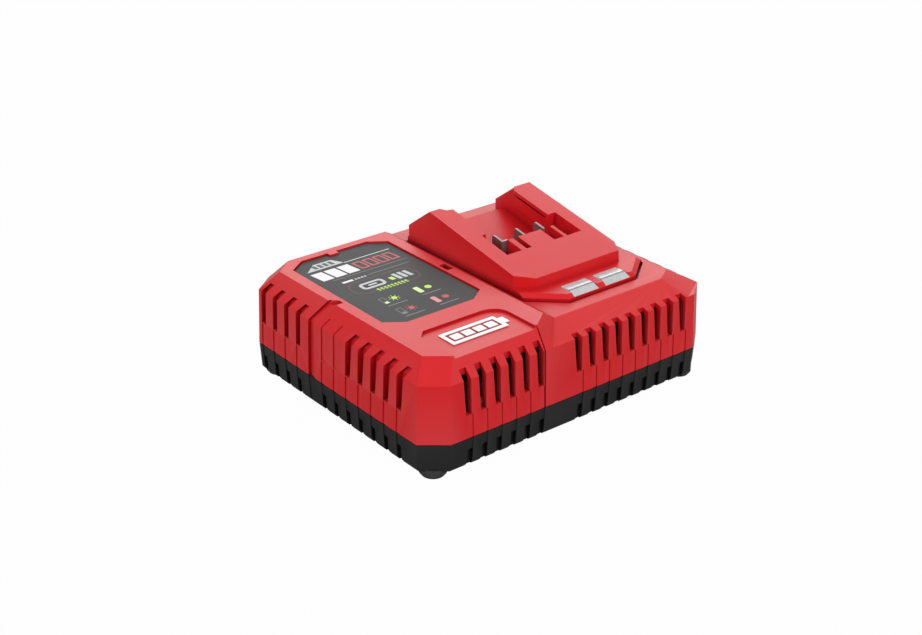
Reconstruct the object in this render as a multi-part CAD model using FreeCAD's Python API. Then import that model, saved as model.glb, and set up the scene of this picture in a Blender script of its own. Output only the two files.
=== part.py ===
import FreeCAD
import Part
import math
import os

# Charger for slide-on tool batteries. Millimetres, X to the right, Y to the back, Z up.
# The origin is on the table, under the middle of the footprint. The front faces -Y.

Vec = FreeCAD.Vector
FAR = 400.0

# Footprint and heights of the housing
WIDTH = 190.0
DEPTH = 159.1
CORNER_X = 13.1
CORNER_Y = 10.4
CORNER_SHRINK = 0.05
RIM_Z = 4.1
RIM_INSET = 1.5
BASE_Z = 6.0
BASE_DRAFT = 0.8
SEAM_Z = 20.1
WALL_TOP_Z = 51.1
WALL_DRAFT = 1.16
LEFT_DECK_Z = 62.2
RIGHT_DECK_Z = 56.3
WALL = 3.2
SHOULDER_WALL = 2.6
SIDE_WALL = 4.6
SEAM_GAP = 0.5
SEAM_GAP_DEPTH = 0.7
BASE_WALL = 4.2
BASE_FLOOR = 2.6
LEFT_DECK_THICK = 3.8
RIGHT_DECK_THICK = 2.4

# Left block: edges of its deck and of the step down to the right block
LEFT_DECK_X = -85.8
LEFT_DECK_FRONT_Y = -71.4
LEFT_DECK_BACK_Y = 68.7
LEFT_DECK_RIGHT_X = -11.0
LEFT_CORNER_X = 11.2
LEFT_CORNER_Y = LEFT_CORNER_X * CORNER_Y / CORNER_X
STEP_FOOT_X = -1.5
FACET_FOOT_X = -17.5
PAD_EDGE_X = -22.0
PEAK_Y = -63.1

# Right block: edges of its lower deck
RIGHT_DECK_X = 84.0
RIGHT_DECK_FRONT_Y = -61.4
RIGHT_DECK_BACK_Y = 75.0
RIGHT_CORNER_X = 73.4
RIGHT_CORNER_Y = -54.9
BLOCK_SPLIT_X = -30.0

# Vent slots
FRONT_PITCH = 9.137
FRONT_LEFT_SLOTS = 6
FRONT_LEFT_FIRST_X = -69.0
FRONT_RIGHT_SLOTS = 9
FRONT_RIGHT_FIRST_X = 2.1
SLOT_BOTTOM_Z = 32.4
SLOT_WIDTH = 3.5
LEFT_SLOT_TOP_Z = 56.3
RIGHT_SLOT_TOP_Z = 52.6
LEFT_SLOT_WIDTHS = (3.4, 4.5, 4.1)
RIGHT_SLOT_WIDTHS = (3.4, 5.0, 4.1)
LEFT_SLOT_LEAN = 0.95
RIGHT_SLOT_LEAN = 0.15
LEFT_OPEN_TOP_Z = 51.1
RIGHT_OPEN_TOP_Z = 49.6
SLOT_FLOOR_Y = -74.5
BLIND_BACK_Y = -72.3
SIDE_FRONT_PITCH = 10.6
SIDE_FRONT_FIRST_Y = -52.8
SIDE_FRONT_SLOTS = 5
SIDE_FRONT_WIDTHS = (4.0, 5.4, 3.8)
SIDE_MARKS = 2
SIDE_MARK_WIDTH = 4.5
SIDE_MARK_LEAN = 2.9
SIDE_REAR_PITCH = 10.85
SIDE_REAR_FIRST_Y = 33.6
SIDE_REAR_SLOTS = 4
SIDE_REAR_WIDTHS = (4.0, 4.2, 3.6)
SIDE_SLOT_LEAN = 4.1
SIDE_SLOT_BOTTOM_Z = 33.0
SIDE_SLOT_TOP_Z = 56.1
SIDE_SLOT_DEPTH = 3.2
SHOULDER_SLOT_DEPTH = 1.8
NOTCH_TOP_Z = 13.5
NOTCH_DEPTH = 3.0
NOTCH_WIDTH = 3.6
STEP_DEPTH = 0.45
LEFT_STEP_OFFSET = 0.9
RIGHT_STEP_OFFSET = 1.2

# Broad groove in the left wall, with a steep rear side and a ramp towards the front
GROOVE_Y = 22.3
GROOVE_RUN = 7.5
GROOVE_DEPTH = 1.6
GROOVE_SHIFT = -7.2

# Label recess and plate, logo pad
LABEL_X0 = -79.5
LABEL_X1 = -17.5
LABEL_Y0 = -29.0
LABEL_Y1 = 64.0
LABEL_CORNER_X = 10.0
LABEL_CORNER_Y = 7.0
LABEL_DEPTH = 1.8
LABEL_PLATE_THICK = 0.8
LABEL_GAP = 0.25
LABEL_TAB_X0 = -53.0
LABEL_TAB_X1 = -47.5
LABEL_TAB_Y = 61.2
PAD_X0 = -74.0
PAD_BACK_Y = -41.8
PAD_CORNER = 4.5
PAD_ROUND_X = 11.0
PAD_ROUND_Y = 9.0
PAD_DEPTH = 1.3
PAD_GROOVE = 0.9

# Battery dock: a panel with a wedge on it whose top slopes down to the front
TILT = 0.183
TOP_Z_AT_0 = 72.0
PANEL_Z = 59.8
PANEL_X0 = -1.2
PANEL_X1 = 77.4
PANEL_FRONT_Y = -50.4
PANEL_CORNERS = (-33.7, 17.3, 62.6, -38.7)
PANEL_BEVEL = 2.1
PANEL_BEVEL_DROP = 2.0
PANEL_GAP = 1.4
WEDGE_X0 = -0.4
WEDGE_X1 = 71.0
WEDGE_FRONT_Y = -35.4
WEDGE_PEAK_Y = 42.3
WEDGE_BACK_Y = 61.0
WEDGE_BACK_Z = 66.0
RISER_DRAFT = 0.7
LIP_X0 = 12.9
LIP_X1 = 56.8
LIP_BACK_Y = 38.7
LIP_FRONT_Y = 10.3
STOP_BACK_Y = 12.7
LIP_THICK = 2.3
CHANNEL_BOTTOM = 4.8
RAIL_X0 = 10.8
RAIL_X1 = 58.8
RAIL_BOTTOM = 11.0
POCKET_X0 = 7.8
POCKET_X1 = 61.8
POCKET_DEPTH = 18.7
POCKET_BACK_Y = 53.7
PLATFORM_BACK_Y = 0.5
SLOT_FRONT_Y = -11.0
RECESS_LEFT = (9.9, 19.9)
SLOT_B = (23.4, 26.9)
SLOT_C = (42.8, 49.7)
RECESS_RIGHT = (51.9, 62.2)
DOCK_WALL = 2.4
TUB_BACK_Y = 44.0
FLANGE = 5.0
FLANGE_THICK = 2.0
EAR_R = 3.4

# Status lenses in the front edge of the panel
LENS_SPANS = ((20.0, 37.4), (42.2, 59.6))
LENS_BACK_Y = -41.7
LENS_RIDGE_Y = -47.6
LENS_LOW_Z = 57.9
LENS_EDGE = 0.2
LENS_GAP = 0.1
LENS_LEDGE = 1.5
CHAMBER_TOP_Z = 57.0

# Contact blades and their block under the pocket floor
BLADE_X = (16.5, 31.7, 45.6)
BLADE_Y0 = 0.7
BLADE_Y1 = 8.7
BLADE_THICK = 1.2
BLADE_FLANGE = 3.6
BLADE_GAP = 0.3
BLADE_BOTTOM_Z = 33.0
BLOCK_X0 = 11.0
BLOCK_X1 = 51.0
BLOCK_Y0 = -3.0
BLOCK_Y1 = 12.0
BLOCK_HEIGHT = 9.0
LEAD_R = 1.1
LEAD_BEND = 6.0

# Fan behind the open slots of the left block
FAN_X = -43.0
FAN_SIZE = 40.0
FAN_Y0 = -73.4
FAN_THICK = 10.0
FAN_Z = 33.0
FAN_BORE_R = 18.8
FAN_BLADE_R = 18.1
FAN_HUB_R = 9.4
FAN_BASE_R = 9.0
FAN_SHAFT_R = 1.0
FAN_RUNNING_FIT = 0.05
FAN_BLADES = 7
FAN_GAP = 0.5

# Circuit board and the sheet under it
BOARD_X0 = -84.0
BOARD_X1 = 60.0
BOARD_Y0 = -58.0
BOARD_Y1 = 61.0
BOARD_Z = 12.5
BOARD_THICK = 1.6
BOARD_TOP = BOARD_Z + BOARD_THICK
SHEET_THICK = 0.4

# Status board, lights
STATUS_Z = 50.7
STATUS_THICK = 1.2
LED_X = (24.0, 33.0, 47.0, 56.5)
LED_Y = -44.5
LED_R = 1.5

# Transformer
CORE_X0 = -58.0
CORE_X1 = -14.0
CORE_HALF_Y = 7.0
CORE_Z0 = 17.5
CORE_Z1 = 53.5
CORE_LEG = 6.5
CORE_MIDDLE = 13.0

# Ring chokes: where the turns of wire sit
CHOKE_ANGLES = tuple(range(-60, 61, 15)) + tuple(range(120, 241, 15))
RING_ANGLES = tuple(range(0, 331, 15))

# Fasteners and feet
FOOT_R = 7.0
FOOT_CENTRES = ((-84.0, -68.0), (84.0, -68.0), (-84.0, 68.0), (84.0, 68.0))
FOOT_SEAT = 1.2
CASE_SCREWS = (
    (-70.0, -66.0, 58.7), (70.0, -66.0, 52.7), (-70.0, 65.0, 58.7), (70.0, 68.6, 54.2),
    (-9.0, -68.0, 52.4), (-9.0, 67.0, 58.1),
)
BOSS_R = 4.0
SCREW_R = 1.5
SCREW_HEAD_R = 2.9
BOARD_SCREWS = ((-80.0, -54.0), (-80.0, 57.0), (56.0, -54.0), (56.0, 57.0))
DOCK_SCREWS = ((24.0, -56.6), (58.0, -56.6), (10.0, 64.8), (60.0, 64.8))
BLOCK_SCREWS = ((24.2, 9.5), (38.6, 9.5))
STATUS_SCREWS = ((16.6, -40.5), (64.4, -40.5))
SMALL_SCREW_R = 1.25
SMALL_HEAD_R = 2.3

# Cord inlet in the back wall
INLET_X = -45.0
INLET_Z = 36.0
INLET_R = 5.6
INLET_PAD_R = 9.6
INLET_PAD_Y = 74.0
GLAND_BODY_R = 5.5
GLAND_BORE_R = 3.7
GLAND_FLANGE_R = 8.0
GLAND_FLANGE = 2.2
GLAND_END_Y = 78.4


# Plain helpers

def box(x0, x1, y0, y1, z0, z1):
    return Part.makeBox(x1 - x0, y1 - y0, z1 - z0, Vec(x0, y0, z0))


def face_of(points):
    return Part.Face(Part.makePolygon([Vec(*p) for p in points] + [Vec(*points[0])]))


def prism_z(points, z0, z1):
    return face_of([(x, y, z0) for x, y in points]).extrude(Vec(0, 0, z1 - z0))


def prism_x(points, x0, x1):
    return face_of([(x0, y, z) for y, z in points]).extrude(Vec(x1 - x0, 0, 0))


def prism_y(points, y0, y1):
    return face_of([(x, y0, z) for x, z in points]).extrude(Vec(0, y1 - y0, 0))


def rod(x, y, z, radius, length, axis=(0, 0, 1)):
    return Part.makeCylinder(radius, length, Vec(x, y, z), Vec(*axis))


def frustum(lower, upper, z0, z1):
    # Both outlines have parallel edges, so every side is a flat face.
    low = [(x, y, z0) for x, y in lower]
    high = [(x, y, z1) for x, y in upper]
    faces = [face_of(low), face_of(high)]
    for i in range(len(low)):
        j = (i + 1) % len(low)
        faces.append(face_of([low[i], low[j], high[j], high[i]]))
    solid = Part.makeSolid(Part.makeShell(faces))
    if solid.Volume < 0:
        solid.reverse()
    return solid


def octagon(half_x, half_y, leg_x, leg_y):
    right = [(half_x, -half_y + leg_y), (half_x, half_y - leg_y), (half_x - leg_x, half_y)]
    left = [(-half_x + leg_x, half_y), (-half_x, half_y - leg_y), (-half_x, -half_y + leg_y)]
    return right + left + [(-half_x + leg_x, -half_y), (half_x - leg_x, -half_y)]


def trimmed(shape, point, normal, inset=0.0):
    # Cuts away what lies beyond the plane through the point, moved back by the inset.
    direction = Vec(*normal)
    direction.normalize()
    beyond = Part.makeBox(FAR, FAR, FAR, Vec(-FAR / 2, -FAR / 2, 0))
    turn = FreeCAD.Rotation(Vec(0, 0, 1), direction)
    beyond.Placement = FreeCAD.Placement(Vec(*point) - direction * inset, turn)
    return shape.cut(beyond)


def joined(shapes):
    first = shapes[0]
    return first.fuse(shapes[1:]).removeSplitter() if len(shapes) > 1 else first


def top_z(y):
    return TOP_Z_AT_0 + TILT * y


def export(node, shapes):
    whole = shapes[0] if len(shapes) == 1 else Part.makeCompound(shapes)
    for solid in whole.Solids:
        if not solid.isValid() or solid.Volume <= 0:
            print("check", node, solid.isValid(), solid.Volume)
    whole.exportStep(os.path.join("parts", node + ".step"))
    print(node, len(whole.Solids), round(whole.Volume))


# Outer form of the upper housing, also used smaller for its cavity

def wall_outline(inset_x, inset_y):
    keep = 1 - CORNER_SHRINK * min(inset_x, inset_y)
    return octagon(WIDTH / 2 - inset_x, DEPTH / 2 - inset_y, CORNER_X * keep, CORNER_Y * keep)


def corner_normal(leg_x, leg_y, sign_x, sign_y, run, rise):
    # Normal of a sloped facet over a cut corner: run is horizontal, rise is vertical.
    length = math.hypot(leg_x, leg_y)
    return (sign_x * leg_y / length * rise, sign_y * leg_x / length * rise, run)


def left_block(outline, z0, deck_z, inset):
    block = prism_z(outline, z0, deck_z).common(box(-FAR, 14, -FAR, FAR, z0, deck_z))
    side = WIDTH / 2 - WALL_DRAFT
    front = DEPTH / 2 - WALL_DRAFT
    rise = LEFT_DECK_Z - WALL_TOP_Z
    deck_front = (0, LEFT_DECK_FRONT_Y, LEFT_DECK_Z)
    block = trimmed(block, (-side, 0, WALL_TOP_Z), (-rise, 0, side + LEFT_DECK_X), inset)
    block = trimmed(block, deck_front, (0, -rise, front + LEFT_DECK_FRONT_Y), inset)
    block = trimmed(block, (0, LEFT_DECK_BACK_Y, LEFT_DECK_Z), (0, rise, front - LEFT_DECK_BACK_Y), inset)
    # The facets over the cut corners run out on the corners of the walls.
    keep = 1 - CORNER_SHRINK * WALL_DRAFT
    slant = math.hypot(CORNER_X, CORNER_Y)
    for sign, edge_y in ((-1, LEFT_DECK_FRONT_Y), (1, LEFT_DECK_BACK_Y)):
        corner = (LEFT_DECK_X + LEFT_CORNER_X, edge_y, LEFT_DECK_Z)
        gap_x = side - CORNER_X * keep + corner[0]
        gap_y = front - abs(edge_y)
        run = (gap_x * CORNER_Y + gap_y * CORNER_X) / slant
        facet = corner_normal(LEFT_CORNER_X, LEFT_CORNER_Y, -1, sign, run, rise)
        block = trimmed(block, corner, facet, inset)
    step_fall = LEFT_DECK_Z - RIGHT_DECK_Z
    step_run = STEP_FOOT_X - LEFT_DECK_RIGHT_X
    block = trimmed(block, (LEFT_DECK_RIGHT_X, 0, LEFT_DECK_Z), (step_fall, 0, step_run), inset)
    along = Vec(LEFT_DECK_RIGHT_X - PAD_EDGE_X, PEAK_Y - LEFT_DECK_FRONT_Y, 0)
    down = Vec(FACET_FOOT_X - PAD_EDGE_X, -front - LEFT_DECK_FRONT_Y, WALL_TOP_Z - LEFT_DECK_Z)
    facet = down.cross(along)
    return trimmed(block, (PAD_EDGE_X, LEFT_DECK_FRONT_Y, LEFT_DECK_Z), tuple(facet), inset)


def right_block(outline, z0, deck_z, inset):
    start = BLOCK_SPLIT_X + inset
    block = prism_z(outline, z0, deck_z).common(box(start, FAR, -FAR, FAR, z0, deck_z))
    side = WIDTH / 2 - WALL_DRAFT
    front = DEPTH / 2 - WALL_DRAFT
    rise = RIGHT_DECK_Z - WALL_TOP_Z
    block = trimmed(block, (side, 0, WALL_TOP_Z), (rise, 0, side - RIGHT_DECK_X), inset)
    block = trimmed(block, (0, -front, WALL_TOP_Z), (0, -rise, front + RIGHT_DECK_FRONT_Y), inset)
    block = trimmed(block, (0, front, WALL_TOP_Z), (0, rise, front - RIGHT_DECK_BACK_Y), inset)
    leg_x = RIGHT_DECK_X - RIGHT_CORNER_X
    leg_y = RIGHT_CORNER_Y - RIGHT_DECK_FRONT_Y
    for sign, run in ((-1, 16.5), (1, 9.0)):
        edge_y = RIGHT_DECK_FRONT_Y if sign < 0 else RIGHT_DECK_BACK_Y
        corner_x = RIGHT_CORNER_X if sign < 0 else RIGHT_CORNER_X + 3
        facet = corner_normal(leg_x, leg_y, 1, sign, run, rise)
        block = trimmed(block, (corner_x, edge_y, RIGHT_DECK_Z), facet, inset)
    return block


def housing_form():
    lower = wall_outline(0, 0)
    upper = wall_outline(WALL_DRAFT, WALL_DRAFT)
    walls = frustum(lower, upper, SEAM_Z, WALL_TOP_Z)
    left = left_block(upper, WALL_TOP_Z, LEFT_DECK_Z, 0)
    right = right_block(upper, WALL_TOP_Z, RIGHT_DECK_Z, 0)
    return joined([walls, left, right])


def inner_form(side_wall, wall, left_thick, right_thick, shoulder):
    # The form of the housing made smaller: by the walls, by the two decks and by the shoulders.
    lower = wall_outline(side_wall, wall)
    upper = wall_outline(side_wall + WALL_DRAFT, wall + WALL_DRAFT)
    top = WALL_TOP_Z - shoulder
    walls = frustum(lower, upper, SEAM_Z - 1, top)
    left = left_block(upper, top, LEFT_DECK_Z - left_thick, shoulder)
    right = right_block(upper, top, RIGHT_DECK_Z - right_thick, shoulder)
    return joined([walls, left, right])


# Vent slots: a slot stands upright up to the kink at the top of the wall and leans on the shoulder

def slot_outline(edge, bottom, top, widths, lean):
    foot, kink, crown = widths
    return [
        (edge - foot, bottom), (edge, bottom), (edge, WALL_TOP_Z),
        (edge - lean, top), (edge - lean - crown, top), (edge - kink, WALL_TOP_Z),
    ]


def front_groups():
    return (
        (front_rows()[:FRONT_LEFT_SLOTS], 0, LEFT_SLOT_WIDTHS, LEFT_SLOT_LEAN, LEFT_SLOT_TOP_Z, LEFT_OPEN_TOP_Z),
        (front_rows()[FRONT_LEFT_SLOTS:], FRONT_RIGHT_SLOTS - 1, RIGHT_SLOT_WIDTHS, RIGHT_SLOT_LEAN,
         RIGHT_SLOT_TOP_Z, RIGHT_OPEN_TOP_Z),
    )


def front_slots():
    # On the shoulder a slot has a floor. Below it the slot goes through, but for one blind slot in each group.
    cuts = []
    front = -DEPTH / 2 - 1
    for rows, blind, widths, lean, top, open_top in front_groups():
        for i, right in enumerate(rows):
            outline = slot_outline(right, SLOT_BOTTOM_Z, top, widths, lean)
            cuts.append(prism_y(outline, front, SLOT_FLOOR_Y))
            if i != blind:
                through = prism_y(outline, front, front + 13)
                cuts.append(through.common(box(-FAR, FAR, -FAR, FAR, 0, open_top)))
    return cuts


def slot_backing():
    # Material behind the slots' floors, kept inside the housing's form.
    parts = []
    for rows, blind, widths, lean, top, open_top in front_groups():
        x0 = rows[0] - widths[1] - lean - 1
        x1 = rows[-1] + 1
        parts.append(box(x0, x1, SLOT_FLOOR_Y, SLOT_FLOOR_Y + 0.8, open_top, top + 1.5))
        edge = rows[blind]
        foot_z = SLOT_BOTTOM_Z - 1.5
        parts.append(box(edge - widths[1] - 1.5, edge + 1.5, SLOT_FLOOR_Y - 2, BLIND_BACK_Y, foot_z, top + 1.5))
    return Part.makeCompound(parts).common(housing_form()).Solids


def back_slots():
    half = DEPTH / 2
    top = WALL_TOP_Z - 5
    rows = front_rows()[FRONT_LEFT_SLOTS:]
    return [box(x - SLOT_WIDTH, x, half - 8, half + 1, SLOT_BOTTOM_Z, top) for x in rows]


def front_rows():
    left = [FRONT_LEFT_FIRST_X + i * FRONT_PITCH for i in range(FRONT_LEFT_SLOTS)]
    return left + [FRONT_RIGHT_FIRST_X + i * FRONT_PITCH for i in range(FRONT_RIGHT_SLOTS)]


def front_lines():
    # The fine steps stand a little to the right of the slots.
    left = [x + LEFT_STEP_OFFSET for x in front_rows()[:FRONT_LEFT_SLOTS]]
    return left + [x + RIGHT_STEP_OFFSET for x in front_rows()[FRONT_LEFT_SLOTS:]]


def side_front_rows():
    return [SIDE_FRONT_FIRST_Y + i * SIDE_FRONT_PITCH for i in range(SIDE_FRONT_SLOTS + SIDE_MARKS)]


def side_rear_rows():
    return [SIDE_REAR_FIRST_Y + i * SIDE_REAR_PITCH for i in range(SIDE_REAR_SLOTS)]


def side_slots():
    # Blind slots whose floors follow the wall and the shoulder.
    cuts = []
    half = WIDTH / 2
    core = inner_form(SIDE_SLOT_DEPTH, SIDE_SLOT_DEPTH, 0.2, 0.2, SHOULDER_SLOT_DEPTH)
    rows = [(y, SIDE_FRONT_WIDTHS) for y in side_front_rows()[:SIDE_FRONT_SLOTS]]
    rows += [(y, SIDE_REAR_WIDTHS) for y in side_rear_rows()]
    low_lean = SIDE_SLOT_LEAN * (RIGHT_SLOT_TOP_Z - WALL_TOP_Z) / (SIDE_SLOT_TOP_Z - WALL_TOP_Z)
    for y, widths in rows:
        outline = slot_outline(y, SIDE_SLOT_BOTTOM_Z, SIDE_SLOT_TOP_Z, widths, SIDE_SLOT_LEAN)
        cuts.append(prism_x(outline, -half - 1, -half + 9).cut(core))
        outline = slot_outline(y, SIDE_SLOT_BOTTOM_Z, RIGHT_SLOT_TOP_Z, widths, low_lean)
        cuts.append(prism_x(outline, half - 9, half + 1).cut(core))
    return cuts


def side_ramp(y, run, depth, z0, x0, z1, x1, shift=0.0):
    # A sink in the left wall, deepest at y and running out towards the front.
    lower = [(x0 - 1, y), (x0 + depth, y), (x0, y - run), (x0 - 1, y - run)]
    upper = [(a + x1 - x0, b + shift) for a, b in lower]
    return frustum(lower, upper, z0, z1)


def side_grooves():
    cuts = []
    wall_x = -WIDTH / 2
    kink_x = wall_x + WALL_DRAFT
    slope = (LEFT_DECK_X - kink_x) / (LEFT_DECK_Z - WALL_TOP_Z)
    groove = side_ramp(GROOVE_Y, GROOVE_RUN, GROOVE_DEPTH, SEAM_Z, wall_x, WALL_TOP_Z, kink_x)
    cuts += [groove, groove.mirror(Vec(0, 0, 0), Vec(1, 0, 0))]
    past = 1.0
    rise = LEFT_DECK_Z - WALL_TOP_Z + past
    shift = GROOVE_SHIFT * rise / (rise - past)
    cuts.append(side_ramp(
        GROOVE_Y, GROOVE_RUN, GROOVE_DEPTH + 0.2, WALL_TOP_Z, kink_x, LEFT_DECK_Z + past, kink_x + slope * rise, shift))
    notch = [
        (8.0, LEFT_DECK_Z), (11.5, LEFT_DECK_Z - 1.7), (15.8, LEFT_DECK_Z - 1.9),
        (15.8, LEFT_DECK_Z + 1), (8.0, LEFT_DECK_Z + 1),
    ]
    notch = prism_x(notch, LEFT_DECK_X - 1.5, LABEL_X0 - 2.0)
    cuts.append(trimmed(notch, (LEFT_DECK_X, 15.2, LEFT_DECK_Z), (0.615, 0.788, 0)))
    for y in side_front_rows()[SIDE_FRONT_SLOTS:]:
        cuts.append(side_ramp(y, SIDE_MARK_WIDTH, STEP_DEPTH, SIDE_SLOT_BOTTOM_Z, wall_x + 0.48, WALL_TOP_Z, kink_x))
        top_x = kink_x + slope * (SIDE_SLOT_TOP_Z - WALL_TOP_Z)
        cuts.append(side_ramp(
            y, SIDE_MARK_WIDTH, STEP_DEPTH, WALL_TOP_Z, kink_x, SIDE_SLOT_TOP_Z, top_x, -SIDE_MARK_LEAN))
    return cuts


def rib_steps(z0, z1, draft, out):
    # Fine steps between the ribs, under each slot. They lean with the wall.
    cuts = []
    height = z1 - z0
    lean = draft * height
    for x in front_lines():
        y = -DEPTH / 2 + out
        lower = [(x - SLOT_WIDTH, y - 1), (x, y - 1), (x, y + STEP_DEPTH), (x - SLOT_WIDTH, y)]
        upper = [(a, b + lean) for a, b in lower]
        cuts.append(frustum(lower, upper, z0, z1))
    for y in side_front_rows() + side_rear_rows():
        x = -WIDTH / 2 + out
        step = side_ramp(y, NOTCH_WIDTH, STEP_DEPTH, z0, x, z1, x + lean)
        cuts.append(step)
        cuts.append(step.mirror(Vec(0, 0, 0), Vec(1, 0, 0)))
    return cuts


# Panel outlines of the dock: the left and back edges stay upright, the others have a bevel

def slanted_edge(start, end, grow):
    # Unit normal of the edge and its distance from the origin, after moving outwards.
    length = math.hypot(end[0] - start[0], end[1] - start[1])
    nx = (end[1] - start[1]) / length
    ny = (start[0] - end[0]) / length
    return nx, ny, nx * start[0] + ny * start[1] + grow


def panel_outline(grow):
    upright = max(grow - PANEL_BEVEL, 0.0)
    x0 = PANEL_X0 - upright
    x1 = PANEL_X1 + grow
    y0 = PANEL_FRONT_Y - grow
    y1 = WEDGE_BACK_Y + upright
    left_y, left_x, right_x, right_y = PANEL_CORNERS
    nx, ny, distance = slanted_edge((PANEL_X0, left_y), (left_x, PANEL_FRONT_Y), grow)
    corners = [(x0, (distance - nx * x0) / ny), ((distance - ny * y0) / nx, y0)]
    nx, ny, distance = slanted_edge((right_x, PANEL_FRONT_Y), (PANEL_X1, right_y), grow)
    corners += [((distance - ny * y0) / nx, y0), (x1, (distance - nx * x1) / ny)]
    return corners + [(x1, y1), (x0, y1)]


# Housing shells

def pad_outline():
    # The pad is open to the front and has one rounded corner, drawn with short edges.
    front = LEFT_DECK_FRONT_Y - 12
    edge = PAD_EDGE_X - PAD_GROOVE
    points = [(PAD_X0, front), (PAD_X0, PAD_BACK_Y - PAD_CORNER), (PAD_X0 + PAD_CORNER, PAD_BACK_Y)]
    for i in range(7):
        angle = math.radians(90 - 15 * i)
        x = edge - PAD_ROUND_X + PAD_ROUND_X * math.cos(angle)
        points.append((x, PAD_BACK_Y - PAD_ROUND_Y + PAD_ROUND_Y * math.sin(angle)))
    return points + [(edge, front)]


def upper_housing():
    cavity = inner_form(SIDE_WALL, WALL, LEFT_DECK_THICK, RIGHT_DECK_THICK, SHOULDER_WALL)
    shell = joined([housing_form().cut(cavity)] + slot_backing())
    cuts = front_slots() + back_slots() + side_slots() + side_grooves()
    cuts += rib_steps(SEAM_Z, SLOT_BOTTOM_Z, WALL_DRAFT / (WALL_TOP_Z - SEAM_Z), 0.0)
    cuts.append(prism_z(panel_outline(PANEL_BEVEL + PANEL_GAP), RIGHT_DECK_Z - 6, LEFT_DECK_Z))
    cuts.append(box(PANEL_X1, PANEL_X1 + 4.8, -38.4, -32.9, RIGHT_DECK_Z - 6, LEFT_DECK_Z))
    cuts.append(label_recess())
    cuts.append(box(-16.0, -12.0, 6.8, 14.4, LEFT_DECK_Z - 2.6, LEFT_DECK_Z + 1))
    cuts.append(prism_z(pad_outline(), LEFT_DECK_Z - PAD_DEPTH, LEFT_DECK_Z + 1))
    groove_back = -DEPTH / 2 + WALL_DRAFT + PAD_GROOVE
    groove = [
        (-DEPTH / 2 - 1, SEAM_Z), (-DEPTH / 2 + PAD_GROOVE, SEAM_Z), (groove_back, WALL_TOP_Z),
        (LEFT_DECK_FRONT_Y + PAD_GROOVE, LEFT_DECK_Z), (-DEPTH / 2 - 1, LEFT_DECK_Z),
    ]
    cuts.append(prism_x(groove, PAD_EDGE_X - PAD_GROOVE, PAD_EDGE_X))
    shell = shell.cut(cuts)
    bosses = [rod(x, y, SEAM_Z, BOSS_R, roof - SEAM_Z) for x, y, roof in CASE_SCREWS]
    bosses.append(rod(INLET_X, INLET_PAD_Y, INLET_Z, INLET_PAD_R, 3.6, (0, 1, 0)))
    rib_y = FAN_Y0 + FAN_THICK
    for x in (FAN_X - 15, FAN_X + 13.5):
        bosses.append(box(x, x + 1.5, rib_y, rib_y + 6, FAN_Z + 12, LEFT_DECK_Z - LEFT_DECK_THICK + 0.5))
    shell = joined([shell] + bosses)
    holes = [rod(x, y, SEAM_Z - 1, SCREW_R - 0.25, 14) for x, y, roof in CASE_SCREWS]
    holes += [rod(x, y, RIGHT_DECK_Z - 3, SMALL_SCREW_R, 2.2) for x, y in DOCK_SCREWS]
    holes.append(rod(INLET_X, DEPTH / 2 - 8, INLET_Z, INLET_R, 12, (0, 1, 0)))
    return shell.cut(holes)


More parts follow.
